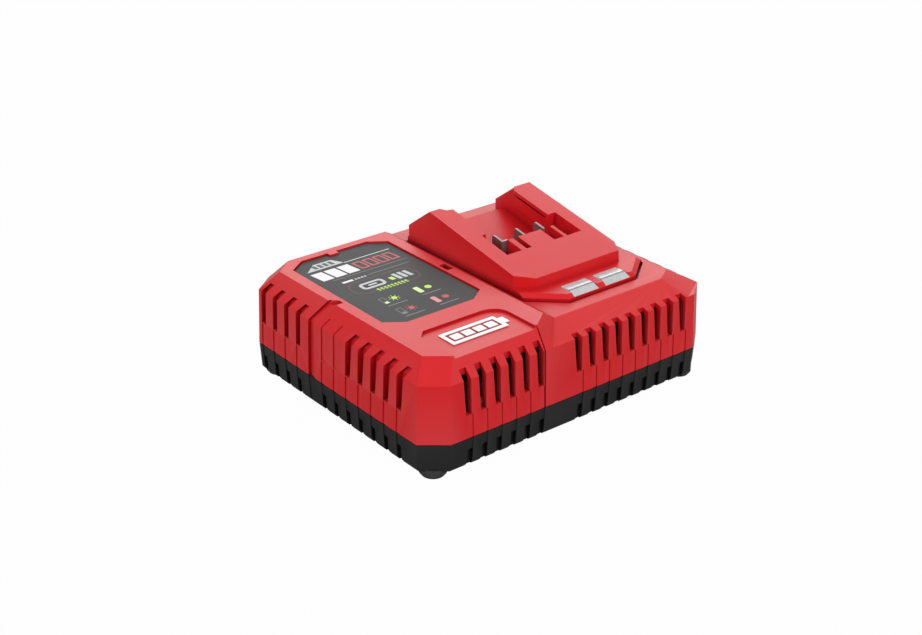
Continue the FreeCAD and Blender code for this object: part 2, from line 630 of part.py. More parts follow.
def lower_housing():
    rim = frustum(
        wall_outline(RIM_INSET + BASE_DRAFT, RIM_INSET + BASE_DRAFT),
        wall_outline(BASE_DRAFT, BASE_DRAFT), RIM_Z, BASE_Z)
    walls = frustum(wall_outline(BASE_DRAFT, BASE_DRAFT), wall_outline(0, 0), BASE_Z, SEAM_Z)
    body = joined([rim, walls])
    hollow = wall_outline(BASE_WALL + 0.6, BASE_WALL)
    body = body.cut(prism_z(hollow, RIM_Z + BASE_FLOOR, SEAM_Z + 1))
    half_x = WIDTH / 2
    half_y = DEPTH / 2
    cuts = []
    for x in front_lines():
        cuts.append(box(x - SLOT_WIDTH, x, -half_y - 1, -half_y + NOTCH_DEPTH, RIM_Z - 1, NOTCH_TOP_Z))
        cuts.append(box(x - SLOT_WIDTH, x, half_y - NOTCH_DEPTH, half_y + 1, RIM_Z - 1, NOTCH_TOP_Z))
    for y in side_front_rows() + side_rear_rows():
        cuts.append(box(-half_x - 1, -half_x + NOTCH_DEPTH, y - NOTCH_WIDTH, y, RIM_Z - 1, NOTCH_TOP_Z))
        cuts.append(box(half_x - NOTCH_DEPTH, half_x + 1, y - NOTCH_WIDTH, y, RIM_Z - 1, NOTCH_TOP_Z))
    draft = BASE_DRAFT / (SEAM_Z - BASE_Z)
    cuts += rib_steps(NOTCH_TOP_Z, SEAM_Z, -draft, draft * (SEAM_Z - NOTCH_TOP_Z))
    line = side_ramp(GROOVE_Y, GROOVE_RUN, STEP_DEPTH, BASE_Z, -half_x + BASE_DRAFT, SEAM_Z, -half_x)
    cuts += [line, line.mirror(Vec(0, 0, 0), Vec(1, 0, 0))]
    seam = prism_z(wall_outline(-1, -1), SEAM_Z - SEAM_GAP, SEAM_Z + 1)
    cuts.append(seam.cut(prism_z(wall_outline(SEAM_GAP_DEPTH, SEAM_GAP_DEPTH), SEAM_Z - 1, SEAM_Z + 2)))
    for i in range(12):
        x = -66.0 + i * 12.0
        cuts.append(box(x - 1.5, x + 1.5, -30, 30, RIM_Z - 1, RIM_Z + BASE_FLOOR + 1))
    for x, y in FOOT_CENTRES:
        cuts.append(rod(x, y, RIM_Z - 1, FOOT_R + 0.1, FOOT_SEAT + 1))
    body = body.cut(cuts)
    foot_z = RIM_Z + BASE_FLOOR - 0.5
    posts = [rod(x, y, foot_z, BOSS_R, SEAM_Z - foot_z) for x, y, roof in CASE_SCREWS]
    posts += [rod(x, y, foot_z, 3.2, BOARD_Z - foot_z) for x, y in BOARD_SCREWS]
    fan_left = FAN_X - FAN_SIZE / 2
    fan_right = FAN_X + FAN_SIZE / 2
    fan_foot = FAN_Z - FAN_SIZE / 2
    cradle = box(fan_left - 1.6, fan_right + 1.6, FAN_Y0 - 1.5, FAN_Y0 + FAN_THICK + 1.5, foot_z, fan_foot + 3.5)
    cradle = cradle.cut(box(fan_left, fan_right, FAN_Y0, FAN_Y0 + FAN_THICK, fan_foot, SEAM_Z))
    body = joined([body, cradle] + posts)
    holes = []
    for x, y, roof in CASE_SCREWS:
        holes.append(rod(x, y, RIM_Z - 1, SCREW_R + 0.2, SEAM_Z))
        holes.append(rod(x, y, RIM_Z - 1, SCREW_HEAD_R + 0.3, 8.0))
    for x, y in BOARD_SCREWS:
        holes.append(rod(x, y, RIM_Z + 1.2, 1.0, BOARD_Z))
    return body.cut(holes)


def feet():
    pieces = {}
    names = ("foot_front_left", "foot_front_right", "foot_rear_left", "foot_rear_right")
    for name, (x, y) in zip(names, FOOT_CENTRES):
        pad = Part.makeCone(FOOT_R - 1.2, FOOT_R, 1.6, Vec(x, y, 0))
        pad = pad.fuse(rod(x, y, 1.6, FOOT_R, RIM_Z + FOOT_SEAT - 1.6)).removeSplitter()
        pieces[name] = [pad]
    return pieces


def case_screws():
    screws = []
    for x, y, roof in CASE_SCREWS:
        head = rod(x, y, RIM_Z + 4.6, SCREW_HEAD_R, 2.4)
        shank = rod(x, y, RIM_Z + 7.0, SCREW_R - 0.25, 20)
        cross = box(x - 0.4, x + 0.4, y - 1.8, y + 1.8, RIM_Z + 4.5, RIM_Z + 5.6)
        cross = cross.fuse(box(x - 1.8, x + 1.8, y - 0.4, y + 0.4, RIM_Z + 4.5, RIM_Z + 5.6))
        screws.append(head.fuse(shank).cut(cross).removeSplitter())
    return screws


# Label plate and the plain battery pictogram on the front pad

def label_outline(gap):
    x0 = LABEL_X0 + gap
    x1 = LABEL_X1 - gap
    y0 = LABEL_Y0 + gap
    y1 = LABEL_Y1 - gap
    return [
        (x0 + LABEL_CORNER_X, y0), (x1 - LABEL_CORNER_X, y0), (x1, y0 + LABEL_CORNER_Y),
        (x1, y1 - LABEL_CORNER_Y), (x1 - LABEL_CORNER_X, y1), (x0 + LABEL_CORNER_X, y1),
        (x0, y1 - LABEL_CORNER_Y), (x0, y0 + LABEL_CORNER_Y),
    ]


def label_tab(gap, z0, z1):
    # A tab of the deck reaches over the label's rear edge.
    return box(LABEL_TAB_X0 - gap, LABEL_TAB_X1 + gap, LABEL_TAB_Y - gap, LABEL_Y1 + 1, z0, z1)


def label_recess():
    floor = LEFT_DECK_Z - LABEL_DEPTH
    top = LEFT_DECK_Z + 1
    return prism_z(label_outline(0), floor, top).cut(label_tab(0, floor, top))


def label_plate():
    floor = LEFT_DECK_Z - LABEL_DEPTH
    top = floor + LABEL_PLATE_THICK
    return prism_z(label_outline(LABEL_GAP), floor, top).cut(label_tab(LABEL_GAP, floor, top))


def pad_pictogram():
    # Battery outline with a knob and four bars.
    floor = LEFT_DECK_Z - PAD_DEPTH
    top = floor + 0.7
    x0, x1, y0, y1 = -66.0, -31.5, -61.5, -49.0
    rim = 2.2
    ring = box(x0, x1, y0, y1, floor, top).cut(box(x0 + rim, x1 - rim, y0 + rim, y1 - rim, floor - 1, top + 1))
    knob = box(x1, x1 + 3.2, y0 + 3.3, y1 - 3.3, floor, top)
    body = ring.fuse(knob).removeSplitter()
    gap = 1.5
    pitch = (x1 - x0 - 2 * rim - gap) / 4
    first = x0 + rim + gap
    bars = []
    for i in range(4):
        left = first + i * pitch
        bars.append(box(left, left + pitch - gap, y0 + rim + gap, y1 - rim - gap, floor, top))
    return [body] + bars


# Battery dock

def dock_wedge():
    back = top_z(WEDGE_PEAK_Y)
    profile = [
        (WEDGE_FRONT_Y - RISER_DRAFT, PANEL_Z), (WEDGE_FRONT_Y, top_z(WEDGE_FRONT_Y)), (WEDGE_PEAK_Y, back),
        (WEDGE_BACK_Y, WEDGE_BACK_Z), (WEDGE_BACK_Y, RIGHT_DECK_Z - RIGHT_DECK_THICK),
        (WEDGE_FRONT_Y - RISER_DRAFT, RIGHT_DECK_Z - RIGHT_DECK_THICK),
    ]
    wedge = prism_x(profile, WEDGE_X0, WEDGE_X1)
    wedge = trimmed(wedge, (WEDGE_X0, -28.5, PANEL_Z), (-0.62, -0.78, 0.07))
    return trimmed(wedge, (WEDGE_X1, -28.8, PANEL_Z), (0.88, -0.48, 0.07))


def sloped(x0, x1, y0, y1, upper, lower):
    # A bar that follows the slope of the dock: upper and lower are distances under its top.
    profile = [
        (y0, top_z(y0) - lower), (y1, top_z(y1) - lower), (y1, top_z(y1) - upper), (y0, top_z(y0) - upper),
    ]
    return prism_x(profile, x0, x1)


def lead_in(behind):
    # The mouth of the rails widens towards the back, down to the floor of the channels.
    outline = [
        (LIP_X0, LIP_BACK_Y - 0.2), (9.0, 39.4), (6.3, 43.0), (6.3, behind),
        (POCKET_X1, behind), (POCKET_X1, 45.5), (LIP_X1, LIP_BACK_Y),
    ]
    mouth = prism_z(outline, PANEL_Z, FAR)
    return mouth.common(sloped(0, POCKET_X1 + 5, LIP_BACK_Y - 1, behind, -3.0, CHANNEL_BOTTOM))


def dock_pocket():
    # The rails' channels end in a stop in front; between the lips the pocket goes on to the platform.
    above = -3.0
    behind = WEDGE_BACK_Y + 3
    cuts = [
        sloped(POCKET_X0, POCKET_X1, STOP_BACK_Y, behind, RAIL_BOTTOM, POCKET_DEPTH),
        sloped(RAIL_X0, RAIL_X1, STOP_BACK_Y, behind, LIP_THICK, RAIL_BOTTOM + 0.1),
        sloped(POCKET_X0, POCKET_X1, STOP_BACK_Y, behind, LIP_THICK, CHANNEL_BOTTOM),
        sloped(LIP_X0, LIP_X1, PLATFORM_BACK_Y, behind, above, POCKET_DEPTH),
        lead_in(behind),
        sloped(POCKET_X0, POCKET_X1, WEDGE_PEAK_Y, behind, above, RAIL_BOTTOM),
        sloped(*RECESS_LEFT, SLOT_FRONT_Y, LIP_FRONT_Y, above, POCKET_DEPTH),
        sloped(*RECESS_RIGHT, SLOT_FRONT_Y, LIP_FRONT_Y, above, POCKET_DEPTH),
        sloped(*SLOT_B, SLOT_FRONT_Y, 1, above, POCKET_DEPTH - 6),
        sloped(*SLOT_C, SLOT_FRONT_Y, 1, above, POCKET_DEPTH - 6),
    ]
    return cuts


def status_lens(x0, x1):
    # A low roof with its ridge near the front, running out on the lower edge of the bevel.
    front = PANEL_FRONT_Y - PANEL_BEVEL + LENS_GAP
    profile = [
        (LENS_BACK_Y, LENS_LOW_Z), (LENS_BACK_Y, PANEL_Z + 0.2), (LENS_RIDGE_Y, PANEL_Z + 0.5),
        (front, LENS_LOW_Z + LENS_EDGE), (front, LENS_LOW_Z),
    ]
    lens = prism_x(profile, x0, x1)
    lens = trimmed(lens, (x0, 0, PANEL_Z - 0.4), (-0.8, 0, 0.6))
    return trimmed(lens, (x1, 0, PANEL_Z - 0.4), (0.8, 0, 0.6))


def lens_opening(x0, x1):
    # The seat of the lens, and a window from the lamp chamber under it.
    gap = LENS_GAP
    seat = box(x0 - gap, x1 + gap, PANEL_FRONT_Y - 4, LENS_BACK_Y + gap, LENS_LOW_Z, PANEL_Z + 1)
    ledge = LENS_LEDGE
    window = box(x0 + ledge, x1 - ledge, PANEL_FRONT_Y + 2, LENS_BACK_Y - ledge, CHAMBER_TOP_Z - 1, LENS_LOW_Z + 1)
    return seat.fuse(window)


def battery_dock():
    under = RIGHT_DECK_Z - RIGHT_DECK_THICK
    crease = PANEL_Z - PANEL_BEVEL_DROP
    panel = prism_z(panel_outline(PANEL_BEVEL), under, crease)
    bevel = frustum(panel_outline(PANEL_BEVEL), panel_outline(0), crease, PANEL_Z)
    flange = prism_z(panel_outline(FLANGE), under - FLANGE_THICK, under)
    ears = [rod(x, y, under - FLANGE_THICK, EAR_R, FLANGE_THICK) for x, y in DOCK_SCREWS]
    tub_x0 = POCKET_X0 - DOCK_WALL
    tub_x1 = POCKET_X1 + DOCK_WALL
    tub_front = SLOT_FRONT_Y - DOCK_WALL
    under_floor = POCKET_DEPTH + DOCK_WALL
    profile = [
        (tub_front, top_z(tub_front) - under_floor), (TUB_BACK_Y, top_z(TUB_BACK_Y) - under_floor),
        (TUB_BACK_Y, PANEL_Z), (tub_front, PANEL_Z),
    ]
    tub = prism_x(profile, tub_x0, tub_x1)
    shell = joined([panel, bevel, flange, dock_wedge(), tub] + ears)
    core = box(20, 62, -33, SLOT_FRONT_Y - DOCK_WALL, under - FLANGE_THICK - 1, PANEL_Z - 0.2)
    chamber = box(18, 63, PANEL_FRONT_Y + 2, -34, under - FLANGE_THICK - 1, CHAMBER_TOP_Z)
    block_room = sloped(
        BLOCK_X0 - 0.2, BLOCK_X1 + 0.2, BLOCK_Y0 - 0.2, BLOCK_Y1 + 0.2, under_floor, under_floor + 12)
    open_back = box(POCKET_X0, POCKET_X1, POCKET_BACK_Y, WEDGE_BACK_Y + 3, PANEL_Z, 100)
    cuts = dock_pocket() + [core, chamber, block_room, open_back]
    cuts += [lens_opening(x0, x1) for x0, x1 in LENS_SPANS]
    floor = POCKET_DEPTH - 1
    for x in BLADE_X:
        cuts.append(sloped(x - 1.1, x + 1.1, BLADE_Y0 - 0.6, BLADE_Y1 + 0.6, floor, POCKET_DEPTH + DOCK_WALL + 3))
    cuts.append(box(BLADE_X[0], BLADE_X[0] + BLADE_FLANGE + 1.0, BLADE_Y0 - 0.6, BLADE_Y0 + 1.8, 40, 55))
    cuts += [rod(x, y, under - 3, SMALL_SCREW_R, 4) for x, y in DOCK_SCREWS]
    cuts += [rod(x, y, 45, SMALL_SCREW_R, top_z(y) - POCKET_DEPTH - 45.6) for x, y in BLOCK_SCREWS]
    cuts += [rod(x, y, under - 3, SMALL_SCREW_R, 6) for x, y in STATUS_SCREWS]
    return shell.cut(cuts).removeSplitter()


def dock_screws():
    z = RIGHT_DECK_Z - RIGHT_DECK_THICK - FLANGE_THICK
    return [small_screw(x, y, z, 3.4) for x, y in DOCK_SCREWS]


def small_screw(x, y, seat_z, length):
    # Head under the seat, shank up. The shank fills its hole.
    head = rod(x, y, seat_z - 1.6, SMALL_HEAD_R, 1.6)
    slot = box(x - 1.6, x + 1.6, y - 0.3, y + 0.3, seat_z - 1.7, seat_z - 0.9)
    return head.fuse(rod(x, y, seat_z, SMALL_SCREW_R - 0.05, length)).cut(slot)


# Contacts

def blade_z(y, distance):
    return top_z(y) - distance


def contact_blade(x, flanged):
    half = BLADE_THICK / 2
    profile = [
        (BLADE_Y0, BLADE_BOTTOM_Z), (BLADE_Y1, BLADE_BOTTOM_Z),
        (BLADE_Y1, blade_z(BLADE_Y1, BLADE_GAP + 0.8)), (BLADE_Y1 - 0.8, blade_z(BLADE_Y1 - 0.8, BLADE_GAP)),
        (BLADE_Y0, blade_z(BLADE_Y0, BLADE_GAP)),
    ]
    blade = prism_x(profile, x - half, x + half)
    if flanged:
        top = blade_z(BLADE_Y0, BLADE_GAP)
        bent = box(x, x + BLADE_FLANGE, BLADE_Y0, BLADE_Y0 + BLADE_THICK, BLADE_BOTTOM_Z + 14, top)
        blade = blade.fuse(bent).removeSplitter()
    return blade


def terminal_block():
    upper = POCKET_DEPTH + DOCK_WALL
    block = sloped(BLOCK_X0, BLOCK_X1, BLOCK_Y0, BLOCK_Y1, upper, upper + BLOCK_HEIGHT)
    cuts = []
    for x in BLADE_X:
        half = BLADE_THICK / 2
        cuts.append(box(x - half, x + half, BLADE_Y0, BLADE_Y1, BLADE_BOTTOM_Z, 60))
        cuts.append(box(x + 3.6, x + 5.0, BLADE_Y0, BLADE_Y1, 30, 44.5))
    bent = BLADE_X[0]
    cuts.append(box(bent, bent + BLADE_FLANGE, BLADE_Y0, BLADE_Y0 + BLADE_THICK, 30, 60))
    cuts += [rod(x, y, 30, SMALL_SCREW_R, 40) for x, y in BLOCK_SCREWS]
    cuts += [rod(x, y, 30, SMALL_HEAD_R + 0.2, block_seat(y) - 30) for x, y in BLOCK_SCREWS]
    return block.cut(cuts)


def block_seat(y):
    return top_z(y) - POCKET_DEPTH - DOCK_WALL - BLOCK_HEIGHT + 3.5


def terminal_screws():
    return [small_screw(x, y, block_seat(y), 6.6) for x, y in BLOCK_SCREWS]


def lead(x, y0, z0, y1, z1, level, radius):
    # Down from the contact, across at one level, down into the board.
    way = 1 if y1 > y0 else -1
    bend = LEAD_BEND
    k = bend * (1 - math.sqrt(0.5))
    points = [Vec(x, y0, z0), Vec(x, y0, level + bend)]
    edges = [Part.LineSegment(*points).toShape()]
    middle = Vec(x, y0 + way * k, level + k)
    turn = Vec(x, y0 + way * bend, level)
    edges.append(Part.Arc(points[1], middle, turn).toShape())
    far = Vec(x, y1 - way * bend, level)
    edges.append(Part.LineSegment(turn, far).toShape())
    middle = Vec(x, y1 - way * k, level - k)
    down = Vec(x, y1, level - bend)
    edges.append(Part.Arc(far, middle, down).toShape())
    edges.append(Part.LineSegment(down, Vec(x, y1, z1)).toShape())
    circle = Part.Wire(Part.makeCircle(radius, points[0], Vec(0, 0, -1)))
    return Part.Wire(edges).makePipeShell([circle], True, False)


# Fan

def fan_frame():
    half = FAN_SIZE / 2
    y1 = FAN_Y0 + FAN_THICK
    body = box(FAN_X - half, FAN_X + half, FAN_Y0, y1, FAN_Z - half, FAN_Z + half)
    body = body.cut(rod(FAN_X, FAN_Y0 - 1, FAN_Z, FAN_BORE_R, FAN_THICK + 2, (0, 1, 0)))
    for x in (FAN_X - 16, FAN_X + 16):
        for z in (FAN_Z - 16, FAN_Z + 16):
            body = body.cut(rod(x, FAN_Y0 - 1, z, 1.7, FAN_THICK + 2, (0, 1, 0)))
    base = rod(FAN_X, y1 - 1.8, FAN_Z, FAN_BASE_R, 1.8, (0, 1, 0))
    tube = rod(FAN_X, FAN_Y0 + 2.2, FAN_Z, 2.6, FAN_THICK - 3.0, (0, 1, 0))
    parts = [base, tube]
    for angle in (90, 210, 330):
        strut = box(FAN_X, FAN_X + FAN_BORE_R + 1, y1 - 1.8, y1, FAN_Z - 1.2, FAN_Z + 1.2)
        strut.rotate(Vec(FAN_X, 0, FAN_Z), Vec(0, 1, 0), angle)
        parts.append(strut)
    body = joined([body] + parts)
    bore = rod(FAN_X, FAN_Y0 - 1, FAN_Z, FAN_SHAFT_R + FAN_RUNNING_FIT, FAN_THICK + 0.4, (0, 1, 0))
    return body.cut(bore)


def fan_coil():
    y0 = FAN_Y0 + 2.6
    y1 = FAN_Y0 + FAN_THICK - 1.8
    ring = rod(FAN_X, y0 + 1.6, FAN_Z, 4.6, y1 - y0 - 1.6, (0, 1, 0))
    arms = []
    for i in range(4):
        arm = box(FAN_X, FAN_X + 6.6, y0 + 2.4, y0 + 4.2, FAN_Z - 1.5, FAN_Z + 1.5)
        tip = box(FAN_X + 6.2, FAN_X + 7.2, y0 + 1.8, y0 + 4.8, FAN_Z - 2.6, FAN_Z + 2.6)
        piece = arm.fuse(tip)
        piece.rotate(Vec(FAN_X, 0, FAN_Z), Vec(0, 1, 0), 45 + 90 * i)
        arms.append(piece)
    coil = joined([ring] + arms)
    return coil.cut(rod(FAN_X, y0 - 5, FAN_Z, 2.6, 30, (0, 1, 0)))


def fan_rotor():
    y0 = FAN_Y0 + 0.6
    axis = (0, 1, 0)
    cup = rod(FAN_X, y0, FAN_Z, FAN_HUB_R, 6.6, axis)
    cup = cup.cut(rod(FAN_X, y0 + 1.1, FAN_Z, FAN_HUB_R - 1.2, 10, axis))
    shaft = rod(FAN_X, y0 + 0.5, FAN_Z, FAN_SHAFT_R, FAN_THICK - 1.9, axis)
    blades = []
    for i in range(FAN_BLADES):
        blade = box(FAN_X + FAN_HUB_R - 0.6, FAN_X + FAN_BLADE_R + 2, y0 + 2.6, y0 + 3.7, FAN_Z - 4.2, FAN_Z + 4.2)
        blade.rotate(Vec(FAN_X, y0 + 3.15, FAN_Z), Vec(1, 0, 0), 38)
        blade.rotate(Vec(FAN_X, 0, FAN_Z), Vec(0, 1, 0), i * 360.0 / FAN_BLADES)
        blades.append(blade)
    swept = rod(FAN_X, y0 + 0.2, FAN_Z, FAN_BLADE_R, 6.4, axis)
    hub = rod(FAN_X, y0 - 1, FAN_Z, FAN_HUB_R - 0.5, 20, axis)
    ring = Part.makeCompound(blades).common(swept).cut(hub)
    return joined([cup, shaft] + ring.Solids)


# Circuit board and what stands on it

def board_plate():
    plate = box(BOARD_X0, BOARD_X1, BOARD_Y0, BOARD_Y1, BOARD_Z, BOARD_TOP)
    holes = [rod(x, y, BOARD_Z - 1, SCREW_R, 4) for x, y in BOARD_SCREWS]
    return plate.cut(holes)


def board_screws():
    screws = []
    for x, y in BOARD_SCREWS:
        head = rod(x, y, BOARD_TOP, 2.6, 2.0)
        shank = rod(x, y, BOARD_TOP - 6, 1.0, 6)
        slot = box(x - 0.35, x + 0.35, y - 1.8, y + 1.8, BOARD_TOP + 1.2, BOARD_TOP + 2.1)
        screws.append(head.fuse(shank).cut(slot))
    return screws


def insulating_sheet():
    z = RIM_Z + BASE_FLOOR
    sheet = box(-70, 62, -50, 53, z, z + SHEET_THICK)
    slots = [box(-68.2 + i * 12.0, -63.8 + i * 12.0, -31, 31, z - 1, z + 2) for i in range(12)]
    return sheet.cut(slots)


def transformer_core():
    core = box(CORE_X0, CORE_X1, -CORE_HALF_Y, CORE_HALF_Y, CORE_Z0, CORE_Z1)
    middle = (CORE_X0 + CORE_X1) / 2
    half = CORE_MIDDLE / 2
    low = CORE_Z0 + CORE_LEG
    high = CORE_Z1 - CORE_LEG
    windows = [
        box(CORE_X0 + CORE_LEG, middle - half, -20, 20, low, high),
        box(middle + half, CORE_X1 - CORE_LEG, -20, 20, low, high),
    ]
    return core.cut(windows)


def transformer_bobbin():
    middle = (CORE_X0 + CORE_X1) / 2
    half = CORE_MIDDLE / 2
    x0 = CORE_X0 + CORE_LEG + 0.1
    x1 = CORE_X1 - CORE_LEG - 0.1
    low = CORE_Z0 + CORE_LEG
    high = CORE_Z1 - CORE_LEG
    tube = box(middle - half - 1.4, middle + half + 1.4, -CORE_HALF_Y - 1.4, CORE_HALF_Y + 1.4, low, high)
    plates = [box(x0, x1, -14, 14, low, low + 1.5), box(x0, x1, -14, 14, high - 1.5, high)]
    rails = [box(x0, x1, -14, -9, BOARD_TOP, low + 0.5), box(x0, x1, 9, 14, BOARD_TOP, low + 0.5)]
    bobbin = joined([tube] + plates + rails)
    return bobbin.cut(box(middle - half, middle + half, -CORE_HALF_Y, CORE_HALF_Y, low - 1, high + 1))


def transformer_winding():
    middle = (CORE_X0 + CORE_X1) / 2
    half = CORE_MIDDLE / 2 + 1.4
    low = CORE_Z0 + CORE_LEG + 1.5
    high = CORE_Z1 - CORE_LEG - 1.5
    coil = box(CORE_X0 + CORE_LEG + 0.8, CORE_X1 - CORE_LEG - 0.8, -13.4, 13.4, low, high)
    upright = [e for e in coil.Edges if abs(e.tangentAt(e.FirstParameter).z) > 0.9]
    coil = coil.makeFillet(5.0, upright)
    return coil.cut(box(middle - half, middle + half, -CORE_HALF_Y - 1.4, CORE_HALF_Y + 1.4, low - 1, high + 1))


def can(x, y, radius, height):
    # Electrolytic capacitor with a crimp near its foot and a scored top.
    body = rod(x, y, BOARD_TOP, radius, height)
    crimp = rod(x, y, BOARD_TOP + 2.5, radius + 1, 1.2).cut(rod(x, y, BOARD_TOP + 2, radius - 0.6, 3))
    top = BOARD_TOP + height
    cross = box(x - radius * 0.7, x + radius * 0.7, y - 0.25, y + 0.25, top - 0.4, top + 1)
    across = box(x - 0.25, x + 0.25, y - radius * 0.7, y + radius * 0.7, top - 0.4, top + 1)
    return body.cut([crimp, cross, across])


def heat_sink(x, y0, y1, top):
    plate = box(x, x + 3, y0, y1, BOARD_TOP, top)
    count = 7
    step = (y1 - y0 - 1.2) / (count - 1)
    fins = [box(x + 2.5, x + 11, y0 + i * step, y0 + i * step + 1.2, BOARD_TOP + 3, top) for i in range(count)]
    return joined([plate] + fins)


def tab_device(x, y, z):
    # Flat-backed device on the left face of a heat sink, legs into the board.
    body = box(x - 4.4, x - 1.3, y - 5, y + 5, z, z + 9)
    tab = box(x - 1.3, x, y - 5, y + 5, z, z + 15).cut(rod(x - 2, y, z + 12, 1.8, 4, (1, 0, 0)))
    legs = [box(x - 2.8, x - 2.0, y + d - 0.4, y + d + 0.4, BOARD_TOP, z + 0.5) for d in (-2.54, 0, 2.54)]
    return joined([body, tab] + legs)


def ring_core(x, y, radius, width, height):
    ring = rod(x, y, BOARD_TOP + 1.2, radius, height)
    return ring.cut(rod(x, y, BOARD_TOP, radius - width, height + 4))


def ring_turns(x, y, radius, width, height, angles):
    # Each turn of wire is a closed loop round the ring.
    turns = []
    wire = 0.55
    for angle in angles:
        near = radius - width - 0.1
        outer = box(near - 2 * wire, radius + 2 * wire, -wire, wire, 0, height + 4 * wire)
        inner = box(near, radius, -2, 2, 2 * wire, height + 2 * wire)
        turn = outer.cut(inner)
        turn.rotate(Vec(0, 0, 0), Vec(0, 0, 1), angle)
        turn.translate(Vec(x, y, BOARD_TOP + 1.2 - 2 * wire))
        turns.append(turn)
    return turns


def bridge_rectifier():
    body = box(-72, -68, -4, 16, BOARD_TOP + 4, BOARD_TOP + 20)
    legs = [box(-70.5, -69.5, y, y + 1, BOARD_TOP, BOARD_TOP + 4.5) for y in (-2, 3, 8, 13)]
    hole = rod(-74, 6, BOARD_TOP + 16, 1.7, 8, (1, 0, 0))
    return joined([body] + legs).cut(hole)


def fuse_caps():
    caps = []
    for y in (34.0, 50.0):
        cap = rod(-76, y, BOARD_TOP + 4, 2.9, 5, (0, 1, 0)).cut(rod(-76, y - 1, BOARD_TOP + 4, 2.4, 8, (0, 1, 0)))
        clip = box(-76.5, -75.5, y + 1, y + 4, BOARD_TOP, BOARD_TOP + 1.4)
        caps.append(joined([cap, clip]))
    return caps


def fuse_tube():
    return rod(-76, 34, BOARD_TOP + 4, 2.4, 21, (0, 1, 0))


def mains_terminal():
    body = box(-52, -38, 50, 60, BOARD_TOP, BOARD_TOP + 12)
    cuts = []
    for x in (-48.5, -41.5):
        cuts.append(box(x - 2.2, x + 2.2, 52, 61, BOARD_TOP + 2, BOARD_TOP + 7))
        cuts.append(rod(x, 55, BOARD_TOP + 6, 2.2, 8))
    return body.cut(cuts)


def terminal_clamps():
    clamps = []
    for x in (-48.5, -41.5):
        screw = rod(x, 55, BOARD_TOP + 5, 2.0, 6.2)
        slot = box(x - 0.3, x + 0.3, 52, 58, BOARD_TOP + 10.2, BOARD_TOP + 12)
        clamps.append(screw.cut(slot))
    return clamps


def controller_chip():
    body = box(12, 22, -12, 0, BOARD_TOP + 0.3, BOARD_TOP + 2.6)
    legs = []
    for i in range(8):
        y = -11.2 + i * 1.4
        for x0, x1 in ((10.8, 12.5), (21.5, 23.2)):
            legs.append(box(x0, x1, y, y + 0.5, BOARD_TOP, BOARD_TOP + 1.2))
    return joined([body] + legs)


# Lights

def status_board():
    plate = box(14, 67, -50.2, -34, STATUS_Z, STATUS_Z + STATUS_THICK)
    return plate.cut([rod(x, y, STATUS_Z - 1, SMALL_SCREW_R, 4) for x, y in STATUS_SCREWS])


def status_leds():
    top = STATUS_Z + STATUS_THICK
    leds = []
    for x in LED_X:
        dome = Part.makeSphere(LED_R, Vec(x, LED_Y, top + 2.6))
        leds.append(joined([rod(x, LED_Y, top, LED_R, 2.6), dome, rod(x, LED_Y, top, LED_R + 0.4, 0.8)]))
    return leds


def status_screws():
    return [small_screw(x, y, STATUS_Z, 5.0) for x, y in STATUS_SCREWS]


def cord_gland():
    axis = (0, 1, 0)
    start = INLET_PAD_Y - GLAND_FLANGE
    flange = rod(INLET_X, start, INLET_Z, GLAND_FLANGE_R, GLAND_FLANGE, axis)
    body = rod(INLET_X, start, INLET_Z, GLAND_BODY_R, GLAND_END_Y - start, axis)
    bore = rod(INLET_X, start - 1, INLET_Z, GLAND_BORE_R, 20, axis)
    return joined([flange, body]).cut(bore)


def leads():
    block_under = BLADE_BOTTOM_Z + 2
    tail = (BLADE_Y0 + BLADE_Y1) / 2
    offset = BLADE_THICK / 2 + LEAD_R
    return {
        "wire_positive": [lead(BLADE_X[0] + offset, tail, block_under + 3, 26, BOARD_TOP, 27, LEAD_R)],
        "wire_sense": [lead(BLADE_X[1] + offset, tail, block_under + 3, -20, BOARD_TOP, 25, LEAD_R)],
        "wire_negative": [lead(BLADE_X[2] - offset, tail, block_under + 3, 28, BOARD_TOP, 27, LEAD_R)],
        "wire_status": [lead(30.0, -38, STATUS_Z, -20, BOARD_TOP, 32, LEAD_R)],
        "wire_fan": [lead(FAN_X + 17, FAN_Y0 + FAN_THICK + LEAD_R, FAN_Z + 4, -45, BOARD_TOP, 25, LEAD_R)],
    }


